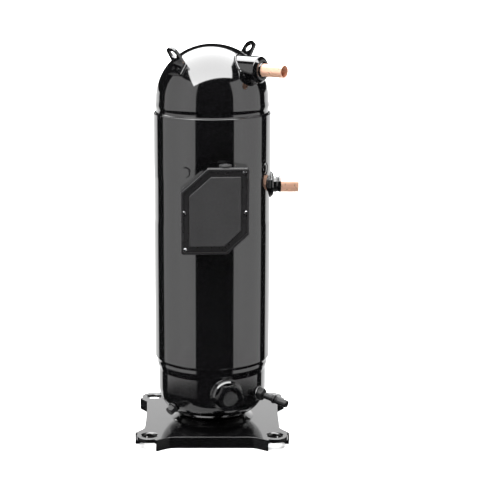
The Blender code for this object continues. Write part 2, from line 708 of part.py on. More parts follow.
def make_sight_glass(bottom_cap):
    axis = frame("sight_glass_axis", GLASS_AZIMUTH, GLASS_Z)
    start = CAP_R - GLASS_DEPTH
    bore = GLASS_THREAD_R + GAP
    turned("sight_glass_boss", (
        (bore, start), (GLASS_BOSS_R, start), (GLASS_BOSS_R, GLASS_BOSS_END - GLASS_EDGE),
        (GLASS_BOSS_R - GLASS_EDGE, GLASS_BOSS_END), (bore, GLASS_BOSS_END),
    ), "black_paint", MEDIUM, axis)
    hexagon = polygon(6, GLASS_HEX_FLATS, math.pi / 2)
    base = GLASS_BOSS_END + GAP
    lens_low = GLASS_HEX_END - GLASS_LENS_SINK - GLASS_LENS_T
    body = extruded("sight_glass_body", hexagon, base, GLASS_HEX_END, "black_paint", axis)
    thread = rod("sight_glass_thread", GLASS_THREAD_R, start + GLASS_THREAD_SHORT, base + LAP,
                 sides=MEDIUM, parent=axis)
    sight = rod("sight_glass_bore", GLASS_SIGHT_R, start, GLASS_HEX_END + PAST, sides=MEDIUM,
                parent=axis)
    recess = rod("sight_glass_recess", GLASS_LENS_R + GAP, lens_low - GAP,
                 GLASS_HEX_END + PAST, sides=MEDIUM, parent=axis)
    cut(joined(body, thread), sight, recess)
    rod("sight_glass_lens", GLASS_LENS_R, lens_low, lens_low + GLASS_LENS_T, "glass", MEDIUM, axis)
    cut(bottom_cap, rod("sight_glass_opening", GLASS_BOSS_R + GAP, start, REACH,
                        sides=MEDIUM, parent=axis))


def make_service_valve(bottom_cap):
    """Oil access valve: boss, tube with a sprung core, and a screwed cap over its end."""
    axis = frame("service_valve_axis", VALVE_AZIMUTH, VALVE_Z, LOW_R, VALVE_DROOP)
    bore = VALVE_TUBE_R + GAP
    tube("service_valve_boss", bore, VALVE_BOSS_R, -VALVE_BOSS_DEPTH, VALVE_BOSS_REACH,
         "black_paint", MEDIUM, axis)
    tube_end = VALVE_REACH - VALVE_TUBE_SHORT
    cap_low = VALVE_REACH - VALVE_CAP_LENGTH
    collar_low, collar_high = [cap_low - v for v in VALVE_COLLAR_SPAN]
    neck = VALVE_TUBE_R - VALVE_NECK
    seat = tube_end - VALVE_SEAT_DEPTH
    turned("service_valve_tube", (
        (VALVE_TUBE_BORE, -VALVE_TUBE_DEPTH), (VALVE_TUBE_R, -VALVE_TUBE_DEPTH),
        (VALVE_TUBE_R, collar_low), (VALVE_TUBE_R + VALVE_COLLAR, collar_low),
        (VALVE_TUBE_R + VALVE_COLLAR, collar_high), (neck, collar_high), (neck, tube_end),
        (CORE_R + GAP, tube_end), (CORE_R + GAP, seat), (VALVE_TUBE_BORE, seat),
    ), "black_paint", SMALL, axis)
    wall = neck + GAP
    roof = VALVE_REACH - VALVE_CAP_ROOF
    turned("service_valve_cap", (
        (wall, cap_low), (VALVE_CAP_R, cap_low), (VALVE_CAP_R, VALVE_REACH - VALVE_CAP_EDGE),
        (VALVE_CAP_R - VALVE_CAP_EDGE, VALVE_REACH), (0.0, VALVE_REACH), (0.0, roof), (wall, roof),
    ), "black_paint", SMALL, axis)
    head = tube_end + CORE_TRAVEL + CORE_ROOM
    end, guide, cone = [tube_end - v for v in CORE_DEPTHS]
    turned("service_valve_core", (
        (0.0, end), (VALVE_TUBE_BORE - GAP, end), (VALVE_TUBE_BORE - GAP, guide), (CORE_R, cone),
        (CORE_R, head), (0.0, head),
    ), "bronze", SMALL, axis)
    cut(bottom_cap, rod("service_valve_opening", VALVE_BOSS_R + GAP, -VALVE_CUT, VALVE_CUT,
                        sides=MEDIUM, parent=axis))


def make_drain_plug(bottom_cap):
    slope = math.radians(DRAIN_DROOP)
    radius = LOW_R - KNUCKLE_R * (1 - math.cos(slope))
    height = CAP_BASE + KNUCKLE_R * (1 - math.sin(slope))
    axis = frame("drain_axis", DRAIN_AZIMUTH, height, radius, DRAIN_DROOP)
    plug = extruded("drain_plug", polygon(6, DRAIN_FLATS), DRAIN_HEX_START, DRAIN_REACH,
                    "black_paint", axis)
    shank = DRAIN_BOSS_R - DRAIN_STEP
    under, edge, over = DRAIN_COLLAR
    joined(plug, turned("drain_body", (
        (0.0, -DRAIN_DEPTH), (shank, -DRAIN_DEPTH), (shank, under), (DRAIN_BOSS_R, edge),
        (DRAIN_BOSS_R, over), (0.0, over),
    ), sides=MEDIUM, parent=axis))
    cut(bottom_cap, rod("drain_opening", shank + GAP, -DRAIN_CUT, DRAIN_CUT, sides=MEDIUM,
                        parent=axis))


# ---------------------------------------------------------------- terminal box

def box_outline():
    """Rectangle with its top left and bottom right corners cut off."""
    w, h = BOX_WIDTH / 2, BOX_HEIGHT / 2
    top, low = BOX_CUT_TOP, BOX_CUT_LOW
    return [(-w, -h), (w - low[0], -h), (w, -h + low[1]), (w, h), (-w + top[0], h), (-w, h - top[1])]


def box_shape(margin=0.0):
    """The box's outline moved inwards by a margin, with round corners."""
    return rounded(inset(box_outline(), margin), max(BOX_CORNER_R - margin, BOX_CORNER_LEAST))


def make_terminal_box(shell):
    face = frame("terminal_axis", BOX_AZIMUTH, BOX_Z)
    outline = box_shape()
    front = SHELL_R + TRAY_DEPTH
    hollow = extruded("tray_hollow", box_shape(BOX_WALL), TRAY_START, front + PAST, None, face)
    cut(hollow, rod("tray_back", SHELL_R + GAP + BOX_BACK, 0.0, REACH * 2, sides=ROUND * 2))
    tray = extruded("terminal_tray", outline, TRAY_START, front, "black_paint", face)
    cut(tray, rod("tray_saddle", SHELL_R + GAP, 0.0, REACH * 2, sides=ROUND * 2), hollow)
    gasket_low = front + GAP
    gasket_high = gasket_low + GASKET_T
    cover_low = gasket_high + GAP
    gasket = extruded("terminal_gasket", box_shape(GASKET_MARGIN), gasket_low, gasket_high,
                      "rubber", face)
    cut(gasket, extruded("gasket_window", box_shape(GASKET_WIDTH), front, front + PAST, None, face))
    cover = extruded("terminal_cover", outline, cover_low, cover_low + COVER_T, "cover_plastic",
                     face)
    joined(cover, extruded("cover_panel", box_shape(PANEL_INSET), cover_low + LAP,
                           cover_low + COVER_T + PANEL_RISE, None, face))
    head_low = cover_low + COVER_T + GAP
    for number, place in enumerate(SCREW_PLACES, 1):
        tip = head_low - SCREW_LENGTH
        screw = turned(f"cover_screw_{number}", (
            (0.0, tip), (SCREW_R, tip), (SCREW_R, head_low), (SCREW_HEAD_R, head_low),
            (SCREW_HEAD_R, head_low + SCREW_HEAD_T / 2),
            (SCREW_HEAD_R - SCREW_EDGE, head_low + SCREW_HEAD_T),
            (0.0, head_low + SCREW_HEAD_T),
        ), "zinc_steel", SMALL, face, place)
        post = rod(f"screw_post_{number}", POST_R, front - SCREW_LENGTH, front - POST_SHORT, None, SMALL,
                   face, place)
        hole = rod(f"screw_hole_{number}", SCREW_R + SCREW_PLAY, tip - TIP_ROOM, head_low + PAST,
                   None, SMALL, face, place)
        joined(tray, post)
        for piece in (tray, gasket, cover):
            cut(piece, hole)
    make_terminal(shell, tray, face)
    make_conduit_plug(tray, face)


def make_terminal(shell, tray, face):
    """Hermetic feed-through with three pins, and the moulded plug on them."""
    drop = (0.0, -TERMINAL_DROP)
    wall = SHELL_R - SHELL_WALL
    outer = SHELL_R + BOX_BACK + TERMINAL_RISE
    body = rod("terminal_body", TERMINAL_R, wall - TERMINAL_DEPTH, outer, "steel", MEDIUM, face, drop)
    plug = rod("terminal_plug", TERMINAL_R - PLUG_STEP, outer + GAP, outer + GAP + PLUG_DEPTH,
               "seal_plastic", MEDIUM, face, drop)
    for number in range(TERMINAL_PINS):
        angle = math.pi / 2 + math.tau * number / TERMINAL_PINS
        x = TERMINAL_PIN_CIRCLE * math.cos(angle)
        y = TERMINAL_PIN_CIRCLE * math.sin(angle) - TERMINAL_DROP
        rod(f"terminal_pin_{number + 1}", TERMINAL_PIN_R, wall - TERMINAL_PIN_IN,
            outer + TERMINAL_PIN_OUT, "steel", SMALL, face, (x, y))
        cut(body, rod(f"pin_way_{number}", TERMINAL_PIN_R + GAP, wall - TERMINAL_PIN_IN,
                      outer + PAST, None, SMALL, face, (x, y)))
        cut(plug, rod(f"pin_socket_{number}", TERMINAL_PIN_R + GAP, outer - PAST,
                      outer + TERMINAL_PIN_OUT + GAP, None, SMALL, face, (x, y)))
    for piece in (shell, tray):
        cut(piece, rod(f"terminal_hole_{piece.name}", TERMINAL_R + GAP, TERMINAL_CUT,
                       outer + PAST, None, MEDIUM, face, drop))


def make_conduit_plug(tray, face):
    """Blank plug in the knockout of the box's top wall."""
    roof = BOX_HEIGHT / 2
    place = Matrix.Translation((CONDUIT_X * MM, 0.0, (SHELL_R + CONDUIT_OUT) * MM))
    up = place @ Matrix.Rotation(math.radians(-90.0), 4, "X")
    (head_r, edge), (crown_r, crown) = CONDUIT_HEAD
    plug = turned("conduit_plug", (
        (0.0, roof - CONDUIT_DEPTH), (CONDUIT_R, roof - CONDUIT_DEPTH), (CONDUIT_R, roof + GAP),
        (head_r, roof + GAP), (head_r, roof + edge), (crown_r, roof + crown), (0.0, roof + crown),
    ), "rubber", MEDIUM, face)
    way = rod("conduit_way", CONDUIT_R + GAP, roof - CONDUIT_CUT, roof + CONDUIT_CUT, None,
              MEDIUM, face)
    plug.data.transform(up)
    way.data.transform(up)
    cut(tray, way)


# ---------------------------------------------------------------- scroll set

def wrap_outline(angle):
    """Closed outline of a scroll wrap: two involutes of the same base circle, half a wall apart."""
    half = WRAP_T / WRAP_BASE_R / 2
    end = math.sqrt((WRAP_OUTER_R / WRAP_BASE_R) ** 2 - 1) - half
    steps = int((end - WRAP_START) / WRAP_STEP)
    turns = [WRAP_START + (end - WRAP_START) * i / steps for i in range(steps + 1)]

    def flank(t, shift):
        x = WRAP_BASE_R * (math.cos(t) + (t + shift) * math.sin(t))
        y = WRAP_BASE_R * (math.sin(t) - (t + shift) * math.cos(t))
        c, s = math.cos(angle), math.sin(angle)
        return c * x - s * y, s * x + c * y

    return [flank(t, half) for t in turns] + [flank(t, -half) for t in reversed(turns)]


def make_fixed_scroll():
    low = FIXED_BASE_LOW
    seal_floor = FIXED_TOP - SEAL_POCKET
    port_top = FIXED_TOP - PORT_STEP
    flange = FIXED_LOW + FIXED_FLANGE_T
    shoulder = CAVITY_R - LAP
    pocket_out, pocket_in = SEAL_OUT_R + SEAL_PLAY, SEAL_IN_R - SEAL_PLAY
    fixed = turned("fixed_scroll", (
        (SCROLL_PORT_R, low), (WRAP_WALL_R, low), (WRAP_WALL_R, FIXED_LOW),
        (CAP_R - GAP, FIXED_LOW), (CAP_R - GAP, flange), (shoulder, flange),
        (shoulder, FIXED_TOP), (pocket_out, FIXED_TOP), (pocket_out, seal_floor),
        (pocket_in, seal_floor), (pocket_in, port_top), (SCROLL_PORT_R, port_top),
    ), "cast_iron", ROUND)
    wrap = extruded("fixed_wrap", wrap_outline(math.pi), FIXED_LOW, low + LAP)
    joined(fixed, wrap)
    window = block("suction_windows", (-REACH, -WINDOW_HALF, FIXED_LOW + WINDOW_LOW),
                   (REACH, WINDOW_HALF, low - WINDOW_HIGH))
    cut(window, rod("window_core", WRAP_WALL_R - LAP, 0.0, REACH * 2, sides=ROUND))
    cut(fixed, window)
    lip, step = FIXED_TOP + SEAL_LIP, SEAL_IN_R + SEAL_STEP
    turned("floating_seal", (
        (SEAL_IN_R, seal_floor + GAP), (SEAL_OUT_R, seal_floor + GAP), (SEAL_OUT_R, lip),
        (step, lip), (step, FIXED_TOP + SEAL_CROWN), (SEAL_IN_R, FIXED_TOP + SEAL_CROWN),
    ), "aluminium", MEDIUM)
    tube("separator_plate", SEPARATOR_PORT_R, CAP_R - GAP, SEPARATOR_LOW,
         SEPARATOR_LOW + SEPARATOR_T, "steel", ROUND)
    return fixed


def make_orbiting_scroll():
    """Turns with the crank pin's axis, which stands one eccentricity from the shaft's axis."""
    pin_axis = upright("crank_pin_axis", ORBIT, 0.0)
    hub_low = ORBIT_LOW - HUB_LENGTH
    orbiting = turned("orbiting_scroll", (
        (HUB_IN_R, hub_low), (HUB_R, hub_low), (HUB_R, ORBIT_LOW), (BASE_R, ORBIT_LOW),
        (BASE_R, ORBIT_TOP), (0.0, ORBIT_TOP), (0.0, ORBIT_LOW + LAP), (HUB_IN_R, ORBIT_LOW + LAP),
    ), "cast_iron", ROUND, pin_axis)
    wrap = extruded("orbiting_wrap", wrap_outline(0.0), ORBIT_TOP - LAP,
                    FIXED_BASE_LOW - TIP_GAP, None, pin_axis)
    joined(orbiting, wrap)
    half = KEY_WIDTH / 2 + 2 * ORBIT + GAP
    inner = KEY_R - RING_HALF - ORBIT
    for name, low, high in (("front", -REACH, -inner), ("back", inner, REACH)):
        cut(orbiting, block(f"key_slot_{name}", (-half, low, ORBIT_LOW - PAST),
                            (half, high, ORBIT_LOW + KEY_HEIGHT + GAP), None, pin_axis))
    outer = HUB_IN_R - GAP
    low, high = hub_low + BUSH_SHORT, ORBIT_LOW - BUSH_SHORT
    tube("hub_bushing", outer - BUSH_T, outer, low, high, "bronze", MEDIUM, pin_axis)
    tube("drive_bush", PIN_R + GAP, PIN_R + GAP + DRIVE_BUSH_T, low, high, "steel", MEDIUM, pin_axis)


def make_oldham_ring():
    """Coupling ring: two keys down into the housing along X, two up into the scroll along Y."""
    centre = upright("oldham_axis", ORBIT, 0.0)
    low = DECK + GAP
    ring = tube("oldham_ring", RING_IN_R, RING_OUT_R, low, low + RING_T, "aluminium", ROUND, centre)
    half = KEY_WIDTH / 2
    top = ORBIT_LOW + KEY_HEIGHT
    for side in (-1, 1):
        x = sorted((side * (KEY_R - KEY_HALF), side * (KEY_R + KEY_HALF)))
        joined(ring, block(f"lower_key_{side}", (x[0], -half, DECK - KEY_HEIGHT),
                           (x[1], half, low + LAP), None, centre))
        joined(ring, block(f"upper_key_{side}", (-half, x[0], low + LAP), (half, x[1], top),
                           None, centre))


def make_housing():
    """Upper bearing housing: hub, deck with its key slots, and the rim under the fixed scroll."""
    rim = FIXED_LOW - GAP
    hub_r = MAIN_R + GAP + BUSH_T + GAP
    housing = turned("bearing_housing", (
        (hub_r, MAIN_LOW), (hub_r + HUB_WALL, MAIN_LOW), (hub_r + HUB_FLARE, DECK_LOW - HUB_FLARE),
        (HUB_POCKET_R + HUB_WALL, DECK_LOW), (CAP_R, DECK_LOW), (CAP_R, rim), (CAVITY_R, rim),
        (CAVITY_R, DECK), (HUB_POCKET_R, DECK), (HUB_POCKET_R, MAIN_TOP), (hub_r, MAIN_TOP),
    ), "cast_iron", ROUND)
    half = KEY_WIDTH / 2 + GAP
    room = KEY_HALF + ORBIT + SLOT_ROOM
    for side in (-1, 1):
        x = sorted((side * (KEY_R - room), side * (KEY_R + room)))
        cut(housing, block(f"housing_slot_{side}", (x[0], -half, DECK - KEY_HEIGHT - GAP),
                           (x[1], half, DECK + PAST)))
    for i in range(BOLTS):
        angle = math.tau * (i + 0.5) / BOLTS
        place = (BOLT_CIRCLE_R * math.cos(angle), BOLT_CIRCLE_R * math.sin(angle))
        make_scroll_bolt(i + 1, housing, place)
        beside = angle + PASSAGE_TURN
        passage = rod(f"gas_passage_{i}", PASSAGE_R, DECK_LOW - PAST, rim + PAST, sides=SMALL,
                      at=(CAP_R * math.cos(beside), CAP_R * math.sin(beside)))
        cut(housing, passage)
    outer = hub_r - GAP
    tube("main_bushing", outer - BUSH_T, outer, MAIN_LOW + BUSH_SHORT, MAIN_TOP - BUSH_SHORT,
         "bronze", MEDIUM)
    tube("thrust_plate", THRUST_IN_R, THRUST_OUT_R, DECK + GAP, DECK + GAP + THRUST_T,
         "steel", ROUND)


def make_scroll_bolt(number, housing, place):
    """Bolt that clamps the fixed scroll's flange to the housing's rim."""
    fixed = bpy.data.objects["fixed_scroll"]
    seat = FIXED_LOW + FIXED_FLANGE_T + GAP
    tip, head = DECK + BOLT_TIP, seat + BOLT_HEAD_T
    turned(f"scroll_bolt_{number}", (
        (0.0, tip), (BOLT_R, tip), (BOLT_R, seat), (BOLT_HEAD_R, seat), (BOLT_HEAD_R, head),
        (0.0, head),
    ), "steel", SMALL, None, place)
    way = rod(f"bolt_way_{number}", BOLT_WAY_R, DECK, seat + PAST, sides=SMALL, at=place)
    cut(housing, way)
    cut(fixed, way)


# ---------------------------------------------------------------- crankshaft and motor

def make_crankshaft():
    pin_top = ORBIT_LOW - PIN_SHORT
    lower, main_low = SPIDER_HIGH + LOWER_RISE, MAIN_LOW - MAIN_DROP
    shaft = turned("crankshaft", (
        (0.0, LOWER_END), (LOWER_R, LOWER_END), (LOWER_R, lower), (SHAFT_R, lower),
        (SHAFT_R, main_low), (MAIN_R, main_low), (MAIN_R, MAIN_TOP), (0.0, MAIN_TOP),
    ), "steel", MEDIUM)
    pin = rod("crank_pin", PIN_R, MAIN_TOP - LAP, pin_top, sides=MEDIUM, at=(ORBIT, 0.0))
    oil_way = rod("oil_way", OIL_WAY_R, LOWER_END - PAST, pin_top + PAST, sides=SMALL,
                  at=(OIL_WAY_X, 0.0))
    cut(joined(shaft, pin), oil_way)
    for name, low, side in (
        ("upper_counterweight", UPPER_WEIGHT_LOW, 180.0),
        ("lower_counterweight", LOWER_WEIGHT_LOW, 0.0),
    ):
        collar = tube(name, SHAFT_R + GAP, SHAFT_R + WEIGHT_COLLAR, low, low + WEIGHT_T,
                      "cast_iron", MEDIUM)
        ends = side - WEIGHT_SPREAD, side + WEIGHT_SPREAD
        sector = arc((0.0, 0.0), WEIGHT_R, *ends, WEIGHT_STEPS)
        sector += arc((0.0, 0.0), SHAFT_R + WEIGHT_LAP, *ends[::-1], WEIGHT_STEPS)
        joined(collar, extruded(name + "_sector", sector, low, low + WEIGHT_T))
    tube("oil_pickup", PICKUP_R, LOWER_R - PICKUP_STEP, CAP_BASE + CAP_WALL + PICKUP_RISE,
         LOWER_END - GAP, "steel", SMALL)


def make_motor():
    bore = ROTOR_R + AIR_GAP
    stator = tube("stator_core", bore, CAP_R, STATOR_LOW, STATOR_HIGH, "lamination", ROUND)
    for i in range(NOTCHES):
        angle = math.tau * i / NOTCHES + math.pi / ROUND
        centre = (CAP_R * math.cos(angle), CAP_R * math.sin(angle))
        cut(stator, rod(f"stator_notch_{i}", NOTCH_R, 0.0, REACH * 2, sides=SMALL, at=centre))
    inner, outer = bore + WINDING_IN, CAP_R - WINDING_WALL
    for name, base, step in (
        ("lower_winding", STATOR_LOW - GAP, -WINDING_HEIGHT),
        ("upper_winding", STATOR_HIGH + GAP, WINDING_HEIGHT - GAP),
    ):
        shoulder = base + step * WINDING_SHOULDER
        turned(name, (
            (inner + WINDING_FOOT, base), (outer, base), (outer, shoulder),
            (outer - WINDING_EDGE[1], base + step), (inner + WINDING_EDGE[0], base + step),
            (inner, shoulder),
        ), "winding_copper", ROUND)
    rotor = tube("rotor_core", SHAFT_R + GAP, ROTOR_R, STATOR_LOW, STATOR_HIGH, "lamination", ROUND)
    ring = (SHAFT_R + CAGE_IN, ROTOR_R - CAGE_OUT)
    cage = tube("rotor_cage", *ring, STATOR_LOW - CAGE_RING_T - GAP, STATOR_LOW - GAP,
                "aluminium", MEDIUM)
    joined(cage, tube("cage_top", *ring, STATOR_HIGH + GAP, STATOR_HIGH + CAGE_RING_T,
                      sides=MEDIUM))
    for i in range(CAGE_BARS):
        angle = math.tau * (i + BAR_TURN) / CAGE_BARS
        place = (BAR_CIRCLE_R * math.cos(angle), BAR_CIRCLE_R * math.sin(angle))
        joined(cage, rod(f"cage_bar_{i}", BAR_R, STATOR_LOW - BAR_LAP, STATOR_HIGH + BAR_LAP,
                         sides=BAR_SIDES, at=place))
        cut(rotor, rod(f"bar_way_{i}", BAR_R + BAR_PLAY, 0.0, REACH * 2, sides=BAR_SIDES, at=place))


def make_lower_bearing():
    hub_in = LOWER_R + GAP + BUSH_T + GAP
    hub_low = LOWER_END + LOWER_RISE
    carrier = turned("lower_bearing_carrier", (
        (hub_in, hub_low), (hub_in + SPIDER_HUB_WALL, hub_low), (hub_in + SPIDER_FLARE, SPIDER_LOW),
        (CAP_R, SPIDER_LOW), (CAP_R, SPIDER_HIGH), (hub_in, SPIDER_HIGH),
    ), "cast_iron", ROUND)
    for i in range(SPIDER_WINDOWS):
        angle = math.radians(30.0) + math.tau * i / SPIDER_WINDOWS
        place = (SPIDER_CIRCLE_R * math.cos(angle), SPIDER_CIRCLE_R * math.sin(angle))
        cut(carrier, rod(f"carrier_window_{i}", SPIDER_WINDOW_R, 0.0, REACH, sides=MEDIUM, at=place))
    outer = hub_in - GAP
    tube("lower_bushing", outer - BUSH_T, outer, hub_low + BUSH_SHORT, SPIDER_HIGH - BUSH_SHORT,
         "bronze", MEDIUM)


def main():
    for old in list(bpy.data.objects):
        bpy.data.objects.remove(old, do_unlink=True)
    shell = make_shell()
    top_cap = make_top_cap()
    bottom_cap = make_bottom_cap()
    make_base_plate()
    make_suction(shell)
    make_discharge(top_cap)
    make_lifting_eye("front_lifting_eye", EYE_AZIMUTH)
    make_lifting_eye("rear_lifting_eye", EYE_AZIMUTH + 180.0)
    make_sight_glass(bottom_cap)
    make_service_valve(bottom_cap)
    make_drain_plug(bottom_cap)
    make_terminal_box(shell)
    make_fixed_scroll()
    make_orbiting_scroll()
    make_oldham_ring()
    make_housing()
    make_crankshaft()
    make_motor()
    make_lower_bearing()


main()
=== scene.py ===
import json
import math

import bmesh
import bpy
from bpy.props import FloatProperty, FloatVectorProperty, IntProperty, PointerProperty
from mathutils import Matrix, Vector


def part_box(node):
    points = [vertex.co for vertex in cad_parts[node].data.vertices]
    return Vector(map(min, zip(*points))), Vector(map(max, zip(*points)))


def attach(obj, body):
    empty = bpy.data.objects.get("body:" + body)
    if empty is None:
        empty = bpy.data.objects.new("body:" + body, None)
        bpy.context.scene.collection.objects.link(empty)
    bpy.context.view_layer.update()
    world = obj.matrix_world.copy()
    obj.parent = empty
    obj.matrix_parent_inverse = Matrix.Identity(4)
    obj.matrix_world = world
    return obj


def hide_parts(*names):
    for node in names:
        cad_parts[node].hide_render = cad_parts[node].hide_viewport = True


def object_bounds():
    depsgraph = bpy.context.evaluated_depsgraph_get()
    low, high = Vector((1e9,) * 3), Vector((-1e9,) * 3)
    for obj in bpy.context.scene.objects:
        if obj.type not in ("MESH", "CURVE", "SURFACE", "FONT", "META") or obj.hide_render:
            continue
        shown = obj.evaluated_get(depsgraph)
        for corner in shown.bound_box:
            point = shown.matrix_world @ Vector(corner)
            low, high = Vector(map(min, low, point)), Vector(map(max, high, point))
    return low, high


bl_info = {
    "name": "Scroll compressor finishes",
    "version": (1, 0, 0),
    "blender": (4, 5, 0),
    "location": "3D View > Sidebar > Compressor",
    "description": "Skins, fittings and finishes of a hermetic scroll compressor round its CAD frame",
    "category": "Object",
}

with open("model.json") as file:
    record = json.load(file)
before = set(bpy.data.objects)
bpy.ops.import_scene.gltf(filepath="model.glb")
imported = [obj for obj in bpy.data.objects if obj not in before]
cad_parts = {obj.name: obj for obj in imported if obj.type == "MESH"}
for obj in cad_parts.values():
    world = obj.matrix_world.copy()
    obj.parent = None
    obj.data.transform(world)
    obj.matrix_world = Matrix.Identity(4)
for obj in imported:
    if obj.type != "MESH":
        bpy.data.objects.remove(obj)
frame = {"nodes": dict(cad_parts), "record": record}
cad_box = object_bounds()

MM = 0.001                    # outlines are drawn in millimetres and made metres when they settle
MERGE = 0.001                 # millimetres between doubles
SHARP = math.radians(32.0)    # faces that meet at more than this keep a sharp edge
ROUND = 160                   # sides of the shell, its caps and the seat ring
MEDIUM = 64                   # sides of flanges, bosses and stubs
SMALL = 40                    # sides of screws, plugs and holes


def corners(node):
    """Lowest and highest corners of a CAD node, in millimetres."""
    low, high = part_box(node)
    return low / MM, high / MM


def mount(name):
    """Place in millimetres and outward direction of one of the record's mounts."""
    row = next(m for m in frame["record"]["mounts"] if m["name"] == name)
    return Vector(row["pos_m"]) / MM, Vector(row["axis"])


SHELL_LOW, SHELL_HIGH = corners("shell")
SHELL_R = SHELL_HIGH.x
SHELL_WALL = 3.2
FIT_GAP = 0.3                 # between the shell's bore and the caps
CAP_R = SHELL_R - SHELL_WALL - FIT_GAP
CAP_WALL = 3.5
CAP_NECK = 1.8                # how far the bottom cap draws in below its swell
LOW_R = CAP_R - CAP_NECK
APEX = corners("top_cap")[1].z
CAP_SKIRT = 21.0              # straight wall of the top cap above the shell
DOME_BASE = SHELL_HIGH.z + CAP_SKIRT
DOME_HEIGHT = APEX - DOME_BASE
KNUCKLE_R = 45.0
CAP_BASE = corners("bottom_cap")[0].z
PLATE_LOW, PLATE_HIGH = corners("base_plate")
SUCTION_Z = mount("suction_stub_end")[0].z
DISCHARGE_Z = mount("discharge_stub_end")[0].z
DISCHARGE_OUT = mount("discharge_stub_end")[1]
DISCHARGE_AZIMUTH = math.atan2(DISCHARGE_OUT.x, -DISCHARGE_OUT.y)


# ---------------------------------------------------------------- sizes that a user would change

class ShellSizes(bpy.types.PropertyGroup):
    """Details of the pressed and welded shell."""
    rim_edge: FloatProperty(name="Rim edge", description="Rounding of the shell's cut rims",
                            default=0.0011, min=0.0002, max=0.0015, unit="LENGTH")
    neck_depth: FloatProperty(name="Sized band", description="Depth of the band rolled into the shell",
                              default=0.0006, min=0.0, max=0.001, unit="LENGTH")
    crimps: IntProperty(name="Crimps", description="Crimps that hold the bearing housing",
                        default=4, min=1, max=6)
    crimp_angle: FloatProperty(name="First crimp", description="Angle of the first crimp from the front",
                               default=math.radians(-26.2), subtype="ANGLE")
    crimp_depth: FloatProperty(name="Crimp depth", description="Depth of a crimp's groove",
                               default=0.0007, min=0.0, max=0.0015, unit="LENGTH")
    bead: FloatProperty(name="Weld bead", description="Radius of the weld beads round the fittings",
                        default=0.0016, min=0.0005, max=0.003, unit="LENGTH")


class FittingSizes(bpy.types.PropertyGroup):
    """Details of the turned and pressed fittings."""
    edge: FloatProperty(name="Edge", description="Rounding of machined edges",
                        default=0.0006, min=0.0001, max=0.001, unit="LENGTH")
    fold: FloatProperty(name="Fold", description="Outer radius of the base plate's folds",
                        default=0.0034, min=0.001, max=0.0035, unit="LENGTH")
    cover_edge: FloatProperty(name="Cover edge", description="Bevel along the terminal cover's rim",
                              default=0.0016, min=0.0005, max=0.002, unit="LENGTH")


class FinishColours(bpy.types.PropertyGroup):
    """Base colours of the outside finishes."""
    paint: FloatVectorProperty(name="Paint", description="Gloss black enamel of the shell",
                               default=(0.0018, 0.0018, 0.002), subtype="COLOR", size=3)
    plastic: FloatVectorProperty(name="Cover plastic", description="Moulded terminal cover",
                                 default=(0.009, 0.0087, 0.0093), subtype="COLOR", size=3)
    copper: FloatVectorProperty(name="Copper", description="Annealed copper stubs",
                                default=(0.93, 0.56, 0.40), subtype="COLOR", size=3)


# ---------------------------------------------------------------- finishes

def wired(tree, kind, inputs, settings):
    """A new node with its settings made and its inputs linked or filled."""
    made = tree.nodes.new(kind)
    for key, value in settings.items():
        setattr(made, key, value)
    for socket, value in inputs:
        if isinstance(value, bpy.types.NodeSocket):
            tree.links.new(value, made.inputs[socket])
        else:
            made.inputs[socket].default_value = value
    return made


class Graph:
    """A material's node tree, with short ways to add and link its nodes."""

    def __init__(self, name):
        self.material = bpy.data.materials.new(name)
        self.material.use_nodes = True
        self.tree = self.material.node_tree
        self.shader = self.tree.nodes["Principled BSDF"]

    def node(self, kind, inputs=(), **settings):
        return wired(self.tree, kind, inputs, settings)

    def set(self, **values):
        """Constants, straight on the shader's own sockets; underscores stand for spaces."""
        for key, value in values.items():
            self.shader.inputs[key.replace("_", " ")].default_value = value

    def place(self, scale=(1.0, 1.0, 1.0)):
        """Object coordinates, stretched by a scale."""
        source = self.node("ShaderNodeTexCoord").outputs["Object"]
        return self.node("ShaderNodeMapping", (("Vector", source), ("Scale", scale))).outputs[0]

    def noise(self, scale, detail=2.0, stretch=(1.0, 1.0, 1.0)):
        inputs = (("Vector", self.place(stretch)), ("Scale", scale), ("Detail", detail))
        return self.node("ShaderNodeTexNoise", inputs).outputs["Fac"]

    def spread(self, value, low, high, start=0.3, end=0.7):
        """A value between start and end carried to the span low to high."""
        inputs = (("Value", value), (1, start), (2, end), (3, low), (4, high))
        return self.node("ShaderNodeMapRange", inputs).outputs[0]

    def blend(self, factor, first, second):
        inputs = ((0, factor), (6, (*first, 1.0)), (7, (*second, 1.0)))
        return self.node("ShaderNodeMix", inputs, data_type="RGBA").outputs[2]

    def colour(self, output):
        self.tree.links.new(output, self.shader.inputs["Base Color"])

    def roughness(self, output):
        self.tree.links.new(output, self.shader.inputs["Roughness"])

    def relief(self, *layers):
        """Bump layers, each a height output, a strength and a depth in metres."""
        normal = None
        for height, strength, depth in layers:
            inputs = [("Height", height), ("Strength", strength), ("Distance", depth)]
            if normal is not None:
                inputs.append(("Normal", normal))
            normal = self.node("ShaderNodeBump", inputs).outputs[0]
        self.tree.links.new(normal, self.shader.inputs["Normal"])


def shaded(colour, factor):
    return tuple(channel * factor for channel in colour)


def enamel(name, colour, low, high):
    """Gloss enamel: deep black with a faint orange peel and a trace of haze."""
    graph = Graph(name)
    graph.set(Coat_Weight=1.0, Coat_Roughness=0.03, Coat_IOR=1.5, Specular_IOR_Level=0.5)
    graph.colour(graph.blend(graph.noise(24.0), shaded(colour, 0.8), shaded(colour, 1.5)))
    graph.roughness(graph.spread(graph.noise(60.0, 4.0), low, high))
    graph.relief((graph.noise(240.0, 1.0), 0.05, 0.0002), (graph.noise(1400.0, 2.0), 0.04, 0.00005))
    return graph.material


